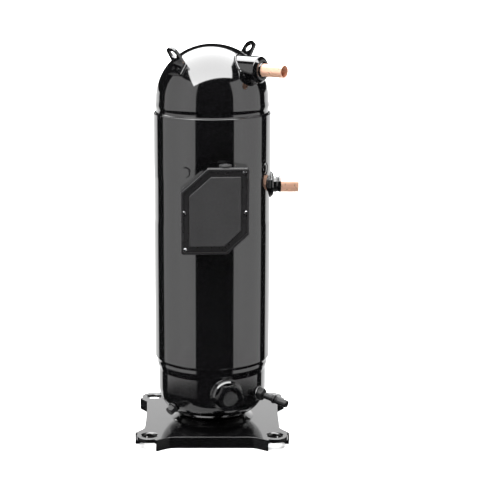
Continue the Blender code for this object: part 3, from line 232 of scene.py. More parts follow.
def moulded(name, colour, roughness, grain, shine=0.5):
    """Moulded plastic, rubber or satin paint with a fine grain."""
    graph = Graph(name)
    graph.set(Specular_IOR_Level=shine)
    graph.colour(graph.blend(graph.noise(40.0, 3.0), shaded(colour, 0.85), shaded(colour, 1.2)))
    graph.roughness(graph.spread(graph.noise(300.0, 3.0), roughness - 0.06, roughness + 0.06))
    graph.relief((graph.noise(grain, 2.0), 0.35, 0.0001))
    return graph.material


def metal(name, colour, roughness, grain=900.0, stretch=(1.0, 1.0, 1.0), relief=0.2):
    """Bare metal: tone and gloss drift, with a directional grain where it's drawn or turned."""
    graph = Graph(name)
    graph.set(Metallic=1.0)
    graph.colour(graph.blend(graph.spread(graph.noise(35.0, 4.0), 0.0, 1.0), colour, shaded(colour, 0.75)))
    graph.roughness(graph.spread(graph.noise(120.0, 4.0, stretch), roughness * 0.75, roughness * 1.3))
    graph.relief((graph.noise(grain, 3.0, stretch), relief, 0.00008))
    return graph.material


def drawn_copper(name, colour):
    """Drawn and annealed copper: fine draw lines, soft pink tone and a few darker heat stains."""
    graph = Graph(name)
    graph.set(Metallic=0.72)
    stains = graph.spread(graph.noise(60.0, 3.0), 0.0, 0.35, 0.50, 0.85)
    heat = (colour[0] * 0.82, colour[1] * 0.66, colour[2] * 0.56)
    graph.colour(graph.blend(stains, colour, heat))
    graph.roughness(graph.spread(graph.noise(200.0, 4.0), 0.26, 0.38))
    graph.relief((graph.noise(1500.0, 3.0), 0.10, 0.00005), (graph.noise(90.0), 0.06, 0.0003))
    return graph.material


def banded(name, first, second, pitch, roughness):
    """Stacked sheets or wound wire: fine bands along the shell's axis."""
    graph = Graph(name)
    inputs = (("Vector", graph.place()), ("Scale", pitch), ("Distortion", 0.6), ("Detail", 2.0))
    wave = graph.node("ShaderNodeTexWave", inputs, bands_direction="Z").outputs["Fac"]
    graph.set(Metallic=0.8)
    graph.colour(graph.blend(wave, first, second))
    graph.roughness(graph.spread(graph.noise(90.0, 3.0), roughness - 0.08, roughness + 0.08))
    graph.relief((wave, 0.4, 0.0002))
    return graph.material


def clear_glass(name):
    """Thick pressed glass with a few seeds; its colour is painted near black, a painted shade of the unlit
    inside of the shell behind it, where the oil is.
    """
    graph = Graph(name)
    graph.set(Transmission_Weight=0.35, IOR=1.5, Roughness=0.12)
    # painted shade: the glass's own colour made near black for the dark inside seen through it
    graph.colour(graph.blend(graph.noise(180.0, 2.0), (0.018, 0.019, 0.019), (0.035, 0.036, 0.036)))
    graph.relief((graph.noise(90.0, 1.0), 0.05, 0.0003))
    return graph.material


def make_finishes(colours):
    """One material for each of the record's slots, and the cover panel's grained one, whose colour is
    painted lighter than the rim as painted light.
    """
    paint = tuple(colours.paint)
    return {
        "black_paint": enamel("gloss_black_enamel", paint, 0.06, 0.12),
        "fitting_paint": moulded("satin_black_enamel", shaded(paint, 2.0), 0.34, 700.0, 0.3),
        "plate_paint": enamel("plate_black_enamel", paint, 0.10, 0.20),
        "cover_plastic": moulded("cover_plastic", tuple(colours.plastic), 0.32, 2600.0),
        # cover panel: real grain and roughness, but its colour is the cover plastic painted half again as
        # light, painted light against the shade of the channel round it
        "cover_panel": moulded("cover_panel_grain_and_painted_light", shaded(tuple(colours.plastic), 1.5), 0.60, 1800.0),
        "copper": drawn_copper("drawn_copper", tuple(colours.copper)),
        "zinc_steel": metal("zinc_plated_steel", (0.72, 0.72, 0.74), 0.28, relief=0.15),
        "steel": metal("machined_steel", (0.52, 0.52, 0.54), 0.30, 700.0, (1.0, 1.0, 6.0)),
        "cast_iron": metal("cast_iron", (0.20, 0.20, 0.21), 0.55, 350.0, relief=0.5),
        "aluminium": metal("die_cast_aluminium", (0.74, 0.75, 0.77), 0.40, 420.0, relief=0.35),
        "bronze": metal("bearing_bronze", (0.60, 0.42, 0.20), 0.32),
        "winding_copper": banded("enamelled_wire", (0.36, 0.11, 0.04), (0.60, 0.24, 0.10), 320.0, 0.35),
        "lamination": banded("lamination_stack", (0.16, 0.16, 0.17), (0.34, 0.34, 0.36), 640.0, 0.40),
        "rubber": moulded("black_rubber", (0.014, 0.014, 0.014), 0.60, 1600.0),
        "seal_plastic": moulded("seal_plastic", (0.10, 0.085, 0.07), 0.40, 900.0),
        "glass": clear_glass("sight_glass"),
    }


FINISHES = {}


# ---------------------------------------------------------------- bmesh helpers

def facing(azimuth, height=0.0, radius=0.0, droop=0.0):
    """A fitting's own place: local Z outward, Y up and X to the right, seen from outside."""
    out = Vector((math.sin(azimuth), -math.cos(azimuth), 0.0))
    right = Vector((math.cos(azimuth), math.sin(azimuth), 0.0))
    turn = Matrix((right, Vector((0, 0, 1)), out)).transposed().to_4x4()
    place = Matrix.Translation(out * radius + Vector((0, 0, height)))
    return place @ turn @ Matrix.Rotation(droop, 4, "X")


def welded(mesh):
    """Merges doubles and turns every face outwards."""
    bmesh.ops.remove_doubles(mesh, verts=mesh.verts, dist=MERGE)
    bmesh.ops.dissolve_degenerate(mesh, edges=mesh.edges, dist=MERGE / 10)
    bmesh.ops.recalc_face_normals(mesh, faces=mesh.faces)
    return mesh


def spun(mesh, geometry, sides):
    """Spins points and edges one full turn round local Z."""
    bmesh.ops.spin(mesh, geom=geometry, axis=(0, 0, 1), cent=(0, 0, 0), dvec=(0, 0, 0),
                   angle=math.tau, steps=sides, use_merge=True, use_duplicate=False)


def lathe(outline, sides):
    """A closed outline of (radius, height) points spun round local Z."""
    mesh = bmesh.new()
    points = [mesh.verts.new((r, 0.0, z)) for r, z in outline]
    edges = [mesh.edges.new(pair) for pair in zip(points, points[1:] + points[:1])
             if pair[0].co.x or pair[1].co.x]
    spun(mesh, points + edges, sides)
    return welded(mesh)


def rod(radius, low, high, sides):
    """A plain cylinder on local Z."""
    return lathe(((0.0, low), (radius, low), (radius, high), (0.0, high)), sides)


def prism(outline, low, high):
    """A flat outline of (x, y) points raised from low to high."""
    mesh = bmesh.new()
    face = mesh.faces.new([mesh.verts.new((x, y, low)) for x, y in outline])
    raised = bmesh.ops.extrude_face_region(mesh, geom=[face])["geom"]
    tops = [item for item in raised if isinstance(item, bmesh.types.BMVert)]
    bmesh.ops.translate(mesh, verts=tops, vec=(0.0, 0.0, high - low))
    return welded(mesh)


def soften(mesh, radius, segments=2, chosen=None, least=SHARP):
    """Rounds the sharp edges, or only those that a test picks."""
    edges = [e for e in mesh.edges if len(e.link_faces) == 2 and e.calc_face_angle() > least
             and (chosen is None or chosen(e))]
    bmesh.ops.bevel(mesh, geom=edges, offset=radius, offset_type="OFFSET", segments=segments,
                    profile=0.5, affect="EDGES", material=-1, clamp_overlap=True)
    return mesh


def arc(centre, radius, start, end, steps):
    """Points along an arc, its angles in degrees."""
    turns = [math.radians(start + (end - start) * i / steps) for i in range(steps + 1)]
    return [(centre[0] + radius * math.cos(t), centre[1] + radius * math.sin(t)) for t in turns]


def polygon(sides, flats, start=0.0):
    """Regular polygon across its flats."""
    radius = flats / 2 / math.cos(math.pi / sides)
    turns = [start + math.tau * (i + 0.5) / sides for i in range(sides)]
    return [(radius * math.cos(t), radius * math.sin(t)) for t in turns]


def rounded(outline, radius, steps=6):
    """An outline with each corner turned into an arc."""
    points = []
    for i, point in enumerate(outline):
        corner = Vector(point)
        before = (Vector(outline[i - 1]) - corner).normalized()
        after = (Vector(outline[(i + 1) % len(outline)]) - corner).normalized()
        half = before.angle(after) / 2
        centre = corner + (before + after).normalized() * radius / math.sin(half)
        first = corner + before * radius / math.tan(half) - centre
        last = corner + after * radius / math.tan(half) - centre
        for step in range(steps + 1):
            spoke = first.lerp(last, step / steps).normalized() * radius
            points.append(tuple(centre + spoke))
    return points


def inset(outline, margin):
    """An outline that runs anticlockwise, moved inwards by a margin."""
    moved = []
    for i, point in enumerate(outline):
        corner = Vector(point)
        before = (corner - Vector(outline[i - 1])).normalized()
        after = (Vector(outline[(i + 1) % len(outline)]) - corner).normalized()
        mitre = (before.orthogonal() + after.orthogonal()).normalized()
        moved.append(tuple(corner + mitre * margin / mitre.dot(after.orthogonal())))
    return moved


def smooth(share):
    """An even start and finish between 0 and 1."""
    share = min(max(share, 0.0), 1.0)
    return share * share * (3 - 2 * share)


def baked(name, mesh):
    """Mesh data made from a bmesh, which is freed."""
    data = bpy.data.meshes.new(name)
    mesh.to_mesh(data)
    mesh.free()
    return data


def linked(name, data):
    """A new object in the scene."""
    made = bpy.data.objects.new(name, data)
    bpy.context.scene.collection.objects.link(made)
    return made


def combined(body, tool, operation):
    """The body with the tool cut away, joined on or kept in common."""
    held = [linked("working", baked("working", mesh)) for mesh in (body, tool)]
    change = held[0].modifiers.new("combine", "BOOLEAN")
    change.operation = operation
    change.solver = "EXACT"
    change.object = held[1]
    result = bmesh.new()
    result.from_object(held[0], bpy.context.evaluated_depsgraph_get())
    for item in held:
        data = item.data
        bpy.data.objects.remove(item)
        bpy.data.meshes.remove(data)
    if not result.faces:
        raise RuntimeError("a boolean left nothing")
    return welded(result)


def moved(mesh, matrix):
    mesh.transform(matrix)
    return mesh


def added(mesh, other):
    """Puts a second mesh into the first."""
    data = baked("added", other)
    mesh.from_mesh(data)
    bpy.data.meshes.remove(data)
    return mesh


def settle(name, mesh, slot, nodes=(), place=None, finish=None):
    """Turns a finished bmesh into a piece that rides on the casing in its slot's finish."""
    if place is not None:
        mesh.transform(place)
    mesh.transform(Matrix.Scale(MM, 4))
    data = baked(name, mesh)
    if not data.polygons:
        raise RuntimeError(name + " came out empty")
    data.shade_smooth()
    data.set_sharp_from_angle(angle=SHARP)
    data.materials.append(FINISHES[finish or slot])
    piece = linked(name, data)
    even = piece.modifiers.new("even_normals", "WEIGHTED_NORMAL")
    even.keep_sharp = True
    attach(piece, "casing")
    if nodes:
        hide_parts(*nodes)
    return piece


def casing_radius(height):
    """Outer radius of the shell and its caps at a height."""
    if height > DOME_BASE:
        share = min((height - DOME_BASE) / DOME_HEIGHT, 1.0)
        return CAP_R * math.sqrt(1 - share * share)
    if height > SHELL_HIGH.z:
        return CAP_R
    if height > SHELL_LOW.z:
        return SHELL_R
    drop = CAP_BASE + KNUCKLE_R - height
    if drop <= 0:
        return LOW_R
    return LOW_R - KNUCKLE_R + math.sqrt(max(KNUCKLE_R ** 2 - drop * drop, 0.0))


def seam(place, radius, start, reach, steps=96):
    """Closed line where a fitting's cylinder meets the casing, found by halving along its axis."""
    line = []
    for i in range(steps):
        turn = math.tau * i / steps
        low, high = start, reach
        for _ in range(24):
            middle = (low + high) / 2
            spot = place @ Vector((radius * math.cos(turn), radius * math.sin(turn), middle))
            if spot.xy.length < casing_radius(spot.z) and spot.z < APEX:
                low = middle
            else:
                high = middle
        line.append(place @ Vector((radius * math.cos(turn), radius * math.sin(turn), low)))
    return line


def bead(line, radius, ripple=0.12, waves=31):
    """A weld bead: a closed tube along a line, swelling and thinning in small waves."""
    curve = bpy.data.curves.new("bead", "CURVE")
    curve.dimensions = "3D"
    curve.bevel_depth = radius
    curve.bevel_resolution = 3
    path = curve.splines.new("POLY")
    path.points.add(len(line) - 1)
    path.use_cyclic_u = True
    for i, (point, spot) in enumerate(zip(path.points, line)):
        point.co = (*spot, 1.0)
        point.radius = 1.0 + ripple * math.sin(math.tau * waves * i / len(line))
    made = linked("bead", curve)
    data = bpy.data.meshes.new_from_object(made.evaluated_get(bpy.context.evaluated_depsgraph_get()))
    result = bmesh.new()
    result.from_mesh(data)
    bpy.data.objects.remove(made)
    bpy.data.curves.remove(curve)
    bpy.data.meshes.remove(data)
    return welded(result)


# ---------------------------------------------------------------- pieces

def sizes():
    return bpy.context.scene.compressor_shell, bpy.context.scene.compressor_fittings


class Piece:
    """What the operators that make pieces have in common."""
    bl_options = {"REGISTER", "UNDO"}

    @classmethod
    def poll(cls, context):
        return bool(frame["nodes"])


class COMPRESSOR_OT_finishes(Piece, bpy.types.Operator):
    """Make the finishes and put them on the CAD nodes"""
    bl_idname = "compressor.finishes"
    bl_label = "Finishes"

    def execute(self, context):
        FINISHES.update(make_finishes(context.scene.compressor_colours))
        for row in frame["record"]["subparts"]:
            node = frame["nodes"][row["node"]]
            for slot in node.material_slots:
                slot.material = FINISHES[row["material_slot"]]
        return {"FINISHED"}


class COMPRESSOR_OT_shell(Piece, bpy.types.Operator):
    """Rolled shell with its sized band, its rounded rims and the crimps that hold the housing"""
    bl_idname = "compressor.shell"
    bl_label = "Shell"

    BAND = (164.5, 98.5)          # the sized band's ends below the top rim
    BAND_RAMP = 2.5
    SUCTION_HOLE_R = 11.5
    CRIMP_DROP = 80.5             # the crimps' middles below the top rim
    CRIMP_REACH = 13.0            # radius of the wall that a crimp moves
    CRIMP_ROWS = 10
    GROOVE_R, GROOVE_WIDTH = 7.2, 1.3
    FLOOR_DEPTH, FLOOR_R, FLOOR_SLOPE = 0.35, 6.0, 2.5

    def execute(self, context):
        shell, _ = sizes()
        depth = shell.neck_depth / MM
        low, high = SHELL_LOW.z, SHELL_HIGH.z
        band = [high - drop for drop in self.BAND]
        ramp = self.BAND_RAMP
        crimp_z = high - self.CRIMP_DROP
        pitch = 2 * self.CRIMP_REACH / (self.CRIMP_ROWS - 1)
        crimp_rows = [(SHELL_R, crimp_z - self.CRIMP_REACH + pitch * i) for i in range(self.CRIMP_ROWS)]
        inside = SHELL_R - SHELL_WALL
        outline = [(SHELL_R, low), (SHELL_R, band[0] - ramp), (SHELL_R - depth, band[0] + ramp),
                   (SHELL_R - depth, band[1] - ramp), (SHELL_R, band[1] + ramp)]
        outline += crimp_rows + [(SHELL_R, high), (inside, high), (inside, low)]
        mesh = soften(lathe(outline, ROUND), shell.rim_edge / MM, 4)
        for i in range(shell.crimps):
            self.press(mesh, shell.crimp_angle + math.tau * i / shell.crimps, crimp_z,
                       shell.crimp_depth / MM)
        hole = moved(rod(self.SUCTION_HOLE_R, 0, 120, MEDIUM), facing(math.pi / 2, SUCTION_Z))
        mesh = combined(mesh, hole, "DIFFERENCE")
        settle("shell_tube", mesh, "black_paint", ("shell",))
        return {"FINISHED"}

    def press(self, mesh, angle, height, depth):
        """Presses one round crimp into the outer wall."""
        out = Vector((math.sin(angle), -math.cos(angle), 0.0))
        centre = out * SHELL_R + Vector((0, 0, height))

        def close(face):
            spot = face.calc_center_median()
            return (spot - centre).length < self.CRIMP_REACH + 0.5 and spot.xy.length > SHELL_R - 1.0
        patch = {e for f in mesh.faces if close(f) for e in f.edges}
        bmesh.ops.subdivide_edges(mesh, edges=list(patch), cuts=4, use_grid_fill=True)
        for vert in mesh.verts:
            away = (vert.co - centre).length
            if away < self.CRIMP_REACH and vert.co.xy.length > SHELL_R - 1.5:
                side = Vector((out.y, -out.x, 0.0)).dot(vert.co - centre)
                groove = math.exp(-((away - self.GROOVE_R) / self.GROOVE_WIDTH) ** 2)
                groove *= 0.5 - 0.5 * side / self.GROOVE_R
                floor = self.FLOOR_DEPTH / (1 + math.exp((away - self.FLOOR_R) * self.FLOOR_SLOPE))
                vert.co -= out * depth * (groove + floor)


class COMPRESSOR_OT_caps(Piece, bpy.types.Operator):
    """Drawn top and bottom caps with the swell above each lap and the weld beads at the rims"""
    bl_idname = "compressor.caps"
    bl_label = "Caps"

    LAP = 9.0                     # how far a cap reaches into the shell
    ROWS, ROW_STEP = 41, 0.5      # rows of the wall outside the shell
    BOSS_HOLE_R = 19.0
    NECK_START, NECK_LENGTH = 6.0, 12.0
    SWELL_AT, SWELL_WIDTH = 12.0, 5.0
    DIP, DIP_AT, DIP_WIDTH = 0.3, 5.0, 2.4
    WELD_OUT, WELD_RISE, WELD_STEPS, WELD_WAVES = 0.5, 0.2, 480, 160

    def execute(self, context):
        shell, _ = sizes()
        high, low = SHELL_HIGH.z, SHELL_LOW.z
        swell = corners("top_cap")[1].x - CAP_R
        outer = [(CAP_R + self.lap(z - high, swell), z)
                 for z in [high - self.LAP] + [high + self.ROW_STEP * i for i in range(self.ROWS)]]
        outer += [(CAP_R * math.cos(t), DOME_BASE + DOME_HEIGHT * math.sin(t))
                  for t in [math.pi / 2 * i / 60 for i in range(61)]]
        inner = [((CAP_R - CAP_WALL) * math.cos(t), DOME_BASE + (DOME_HEIGHT - CAP_WALL) * math.sin(t))
                 for t in [math.pi / 2 * i / 24 for i in range(24, -1, -1)]]
        top = lathe(outer + inner + [(CAP_R - CAP_WALL, high - self.LAP)], ROUND)
        boss = facing(DISCHARGE_AZIMUTH, DISCHARGE_Z)
        top = combined(top, moved(rod(self.BOSS_HOLE_R, 30, 110, MEDIUM), boss), "DIFFERENCE")
        settle("top_cap_dome", top, "black_paint", ("top_cap",))

        bend = (LOW_R - KNUCKLE_R, CAP_BASE + KNUCKLE_R)
        knuckle = arc(bend, KNUCKLE_R, 0.0, -90.0, 30)
        outer = [(CAP_R + self.lap(low - z, swell)
                  - CAP_NECK * smooth((low - z - self.NECK_START) / self.NECK_LENGTH), z)
                 for z in [low + self.LAP] + [low - self.ROW_STEP * i for i in range(self.ROWS)]] + knuckle
        inner_arc = arc(bend, KNUCKLE_R - CAP_WALL, -90.0, 0.0, 16)
        outline = outer + [(0.0, CAP_BASE), (0.0, CAP_BASE + CAP_WALL)] + inner_arc
        bottom = lathe(outline + [(LOW_R - CAP_WALL, low + self.LAP)], ROUND)
        settle("bottom_cap_dish", bottom, "black_paint", ("bottom_cap",))

        for name, height, way in (("top_rim_weld", high, 1.0), ("bottom_rim_weld", low, -1.0)):
            radius, spot = CAP_R + self.WELD_OUT, height + way * self.WELD_RISE
            ring = [Vector((radius * math.cos(t), radius * math.sin(t), spot))
                    for t in [math.tau * i / self.WELD_STEPS for i in range(self.WELD_STEPS)]]
            settle(name, bead(ring, shell.bead / MM, 0.05, self.WELD_WAVES), "black_paint")
        return {"FINISHED"}

    def lap(self, above, swell):
        """How far a cap's wall leaves its straight radius at a distance from the shell's rim."""
        bulge = swell * math.exp(-((above - self.SWELL_AT) / self.SWELL_WIDTH) ** 2)
        return bulge - self.DIP * math.exp(-((above - self.DIP_AT) / self.DIP_WIDTH) ** 2)


class COMPRESSOR_OT_base_plate(Piece, bpy.types.Operator):
    """Pressed mounting plate: folded flanges, corner ears with drawn holes and the raised seat"""
    bl_idname = "compressor.base_plate"
    bl_label = "Base plate"

    PITCH = 190.5
    WALL = 3.5
    EARS = ((1, 1), (-1, 1), (-1, -1), (1, -1))
    EAR_R = 19.5
    HOLE_R = 10.75
    HALF = 104.0                  # from the middle to a flange's straight run
    FLARE, FLARE_START, FLARE_END = 118.5, 63.0, 84.6
    NOTCH, NOTCH_STEP = 113.3, 3.0
    FLANGE_TOP = -2.5             # where the flanges stop at the corners
    SEAT_R, SEAT_RISE = 66.0, 7.7
    SEAT_SLOPE_OUT, SEAT_FOOT_R, SEAT_SLOPE_IN = 16.0, 30.0, 10.0

    def execute(self, context):
        _, fittings = sizes()
        fold = fittings.fold / MM
        low, high = PLATE_LOW.z, PLATE_HIGH.z - self.SEAT_RISE
        mesh = prism(self.eased(self.outline()), low, high)
        inner = self.eased(inset(self.outline(), self.WALL))
        cavity = soften(prism(inner, low - 5, high - self.WALL), 0.8, 2,
                        lambda e: all(v.co.z > low for v in e.verts))
        mesh = combined(mesh, cavity, "DIFFERENCE")
        clear = self.FLARE_END
        for kind in ("corners", "holes"):
            tool = bmesh.new()
            for sx, sy in self.EARS:
                if kind == "holes":
                    part = moved(self.hole(high), self.ear(sx, sy))
                else:
                    part = prism([(sx * x, sy * y) for x, y in
                                  ((clear, clear), (200, clear), (200, 200), (clear, 200))],
                                 low - 5, self.FLANGE_TOP)
                added(tool, part)
            mesh = combined(mesh, tool, "DIFFERENCE")
        seat_r = self.SEAT_R
        mesh = combined(mesh, rod(seat_r, -10, 10, ROUND), "DIFFERENCE")
        soften(mesh, fold, 5,
               lambda e: all(v.co.z > high - 0.01 and v.co.xy.length > 80.0 for v in e.verts))
        for vert in mesh.verts:
            if abs(vert.co.xy.length - seat_r) < 0.3:
                spot = round(math.atan2(vert.co.y, vert.co.x) / math.tau * ROUND) / ROUND * math.tau
                vert.co.xy = (seat_r * math.cos(spot), seat_r * math.sin(spot))
        mesh = added(welded(mesh), self.seat(seat_r, high))
        walls = [f for f in mesh.faces if abs(f.normal.z) < 0.1
                 and abs(f.calc_center_median().xy.length - seat_r) < 0.3]
        bmesh.ops.delete(mesh, geom=walls, context="FACES")
        welded(mesh)
        soften(mesh, 0.5, 2, least=math.radians(55.0))
        for sx, sy in self.EARS:
            collar = lathe(((self.HOLE_R, 0.1), (14.0, 0.1), (13.6, -1.0), (12.4, -2.0),
                            (self.HOLE_R, -2.0)), MEDIUM)
            added(mesh, moved(collar, self.ear(sx, sy)))
        settle("base_plate_pressing", mesh, "plate_paint", ("base_plate",))
        return {"FINISHED"}

    def ear(self, sx, sy):
        return Matrix.Translation((sx * self.PITCH / 2, sy * self.PITCH / 2, 0.0))

    def hole(self, high):
        """Cutter for a mounting hole whose rim is drawn down."""
        rim = arc((14.63, high - 3.8), 4.0, 88.0, 165.0, 7)
        return lathe([(0.0, high + 5), (14.9, high + 5)] + rim
                     + [(self.HOLE_R, -20.0), (0.0, -20.0)], MEDIUM)

    def outline(self):
        """Square with flared flange ends and a round ear at each corner."""
        ear = arc((self.PITCH / 2, self.PITCH / 2), self.EAR_R, -12.0, 102.0, 18)
        end, step = self.FLARE_END, self.FLARE_END + self.NOTCH_STEP
        quarter = [(self.HALF, -self.FLARE_START), (self.HALF, self.FLARE_START), (self.FLARE, end),
                   (self.NOTCH, step)] + ear + [(step, self.NOTCH), (end, self.FLARE)]
        points = []
        for turn in range(4):
            spin = Matrix.Rotation(math.pi / 2 * turn, 2)
            points += [tuple(spin @ Vector(p)) for p in quarter]
        return points

    @staticmethod
    def eased(points):
        """Eases the bends of the flanges and leaves the ears' arcs as they are."""
        eased = []
        for i, point in enumerate(points):
            here = Vector(point)
            before, after = Vector(points[i - 1]), Vector(points[(i + 1) % len(points)])
            reach = min((here - before).length, (after - here).length) * 0.4
            if reach < 1.5:
                eased.append(tuple(here))
                continue
            reach = min(reach, 7.0)
            a = here + (before - here).normalized() * reach
            b = here + (after - here).normalized() * reach
            eased += [tuple(a * (1 - t) ** 2 + here * 2 * t * (1 - t) + b * t * t)
                      for t in (0.0, 0.25, 0.5, 0.75, 1.0)]
        return eased

    def seat(self, radius, high):
        """The middle of the web with the raised ring that carries the shell."""
        def rise(r):
            return self.SEAT_RISE * smooth(min((self.SEAT_R - r) / self.SEAT_SLOPE_OUT,
                                               (r - self.SEAT_FOOT_R) / self.SEAT_SLOPE_IN))
        mesh = bmesh.new()
        for level in (high, high - self.WALL):
            line = [mesh.verts.new((r, 0.0, level + rise(r)))
                    for r in [radius * i / 66 for i in range(67)]]
            edges = [mesh.edges.new(pair) for pair in zip(line, line[1:])]
            spun(mesh, line + edges, ROUND)
        bmesh.ops.remove_doubles(mesh, verts=mesh.verts, dist=MERGE)
        return mesh


class COMPRESSOR_OT_suction(Piece, bpy.types.Operator):
    """Suction connection: painted flange, painted neck with its groove and the bare copper stub"""
    bl_idname = "compressor.suction"
    bl_label = "Suction connection"

    def execute(self, context):
        shell, fittings = sizes()
        edge = fittings.edge / MM
        place = facing(math.pi / 2, SUCTION_Z)
        reach = corners("suction_stub")[1].x
        flange_end, radius = SHELL_R + 4.5, corners("suction_flange")[1].z - SUCTION_Z
        bore, outer = 11.1, 12.0
        flange = lathe(((outer + 0.1, 78), (radius, 78), (radius, flange_end - 2.2),
                        (radius - 2.2, flange_end), (outer + 0.1, flange_end)), MEDIUM)
        settle("suction_flange_turned", soften(flange, edge), "black_paint", ("suction_flange",), place)
        settle("suction_flange_weld", bead(seam(place, radius, 60, 100), shell.bead / MM), "black_paint")
        bare = flange_end + 11.4
        groove = arc((outer + 0.9, flange_end + 6.5), 1.5, 217.0, 143.0, 6)
        neck = [(bore, 80), (outer, 80), (outer, flange_end + 1.2)]
        neck += [(outer + 0.35, flange_end + 2.0), (outer + 0.35, flange_end + 4.6)]
        neck += groove + [(outer + 0.35, flange_end + 8.4), (outer + 0.25, bare), (bore, bare)]
        settle("suction_neck_painted", lathe(neck, MEDIUM), "black_paint", (), place)
        stub = [(bore, bare + 0.02), (outer, bare + 0.02), (outer, reach - 0.5), (outer - 0.4, reach),
                (bore + 0.1, reach), (bore, reach - 0.4)]
        settle("suction_stub_copper", soften(lathe(stub, MEDIUM), 0.12), "copper", ("suction_stub",), place)
        return {"FINISHED"}


class COMPRESSOR_OT_discharge(Piece, bpy.types.Operator):
    """Discharge connection: round boss welded through the dome and its copper stub"""
    bl_idname = "compressor.discharge"
    bl_label = "Discharge connection"

    def execute(self, context):
        shell, fittings = sizes()
        place = facing(DISCHARGE_AZIMUTH, DISCHARGE_Z)
        end = DISCHARGE_OUT.xy.dot(mount("discharge_stub_end")[0].xy)
        radius, face, stub_r, wall = 19.75, 94.5, 9.5, 1.2
        dish = arc((stub_r + 1.2, face), 1.6, 0.0, -90.0, 4)
        boss = [(stub_r + 0.1, 42), (radius, 42), (radius, face - 4.6), (radius - 0.7, face - 3.6),
                (radius - 4.0, face - 0.3), (radius - 4.8, face)] + dish + [(stub_r + 0.1, face - 1.6)]
        settle("discharge_boss_turned", soften(lathe(boss, MEDIUM), fittings.edge / MM),
               "black_paint", ("discharge_boss",), place)
        settle("discharge_boss_weld", bead(seam(place, radius, 20, 95, 160), shell.bead / MM * 1.3, 0.06),
               "black_paint")
        collar = lathe(((stub_r, face - 1.5), (stub_r + 2.0, face - 1.2), (stub_r + 1.2, face + 0.6),
                        (stub_r, face + 1.6)), MEDIUM)
        settle("discharge_braze_ring", collar, "black_paint", (), place)
        stub = [(stub_r - wall, 44), (stub_r, 44), (stub_r, end - 0.6), (stub_r - 0.4, end),
                (stub_r - wall + 0.2, end), (stub_r - wall, end - 0.4)]
        settle("discharge_stub_copper", lathe(stub, MEDIUM), "copper", ("discharge_stub",), place)
        return {"FINISHED"}


class COMPRESSOR_OT_lifting_eyes(Piece, bpy.types.Operator):
    """Bent lifting lugs spot-welded to the dome"""
    bl_idname = "compressor.lifting_eyes"
    bl_label = "Lifting eyes"

    AZIMUTH = math.radians(-47.0)
    RADIUS = 69.0
    THICK = 4.0
    TAB = (24.0, 20.0)
    LEG = 31.0
    LEAN = math.radians(36.0)
    TOP_R = 11.0
    HOLE_R = 6.5
    HOLE_DROP = 1.5               # below the middle of the round top
    TAB_LIFT = 0.7                # the tab's underside above the dome's tangent

    def execute(self, context):
        _, fittings = sizes()
        height = DOME_BASE + DOME_HEIGHT * math.sqrt(1 - (self.RADIUS / CAP_R) ** 2)
        slope = math.atan2(DOME_HEIGHT * self.RADIUS / CAP_R, math.sqrt(CAP_R ** 2 - self.RADIUS ** 2))
        lie = Matrix.Rotation(slope - math.pi / 2, 4, "X")
        spot = Matrix.Translation((0.0, height, self.RADIUS))
        for name, turn in (("front_lifting_eye", 0.0), ("rear_lifting_eye", math.pi)):
            place = facing(self.AZIMUTH + turn)
            width, length = self.TAB
            tab = rounded([(-width / 2, -length / 2), (width / 2, -length / 2),
                           (width / 2, length / 2), (-width / 2, length / 2)], 1.6, 4)
            lug = moved(prism(tab, self.TAB_LIFT, self.THICK + self.TAB_LIFT), spot @ lie)
            foot = spot @ lie @ Matrix.Translation((0.0, length / 2 - self.THICK / 2, self.THICK * 0.6))
            stand = Matrix.Translation(foot.to_translation()) @ Matrix.Rotation(self.LEAN, 4, "X")
            top = self.LEG - self.TOP_R
            leg = [(-width / 2, 0.0), (width / 2, 0.0)] + arc((0.0, top), self.TOP_R, 15.0, 165.0, 20)
            leg_mesh = moved(prism(leg, -self.THICK / 2, self.THICK / 2), stand)
            lug = combined(lug, leg_mesh, "UNION")
            hole = moved(rod(self.HOLE_R, -20, 20, SMALL),
                         stand @ Matrix.Translation((0.0, top - self.HOLE_DROP, 0.0)))
            lug = combined(lug, hole, "DIFFERENCE")
            soften(lug, fittings.edge / MM, 3, least=math.radians(50.0))
            settle(name + "_lug", lug, "black_paint", (name,), place)
            spots = bmesh.new()
            for side in (-1, 1):
                button = lathe(((0.0, -0.6), (2.3, -0.6), (2.3, 0.1), (1.9, 0.45), (0.9, 0.35),
                                (0.0, 0.15)), SMALL)
                spot_place = Matrix.Translation((side * 5.4, -2.4, self.THICK + self.TAB_LIFT))
                added(spots, moved(button, spot_place))
            settle(name + "_spot_welds", spots, "black_paint", (), place @ spot @ lie)
            rim = [spot @ lie @ Vector((x, y, 0.4)) for x, y in self.walk(tab)]
            settle(name + "_weld", bead([place @ p for p in rim], 0.9, 0.15, 23), "black_paint")
        return {"FINISHED"}

    @staticmethod
    def walk(outline, step=2.0):
        """Evenly spaced points along an outline."""
        points = []
        for a, b in zip(outline, outline[1:] + outline[:1]):
            a, b = Vector(a), Vector(b)
            count = max(1, round((b - a).length / step))
            points += [tuple(a.lerp(b, i / count)) for i in range(count)]
        return points


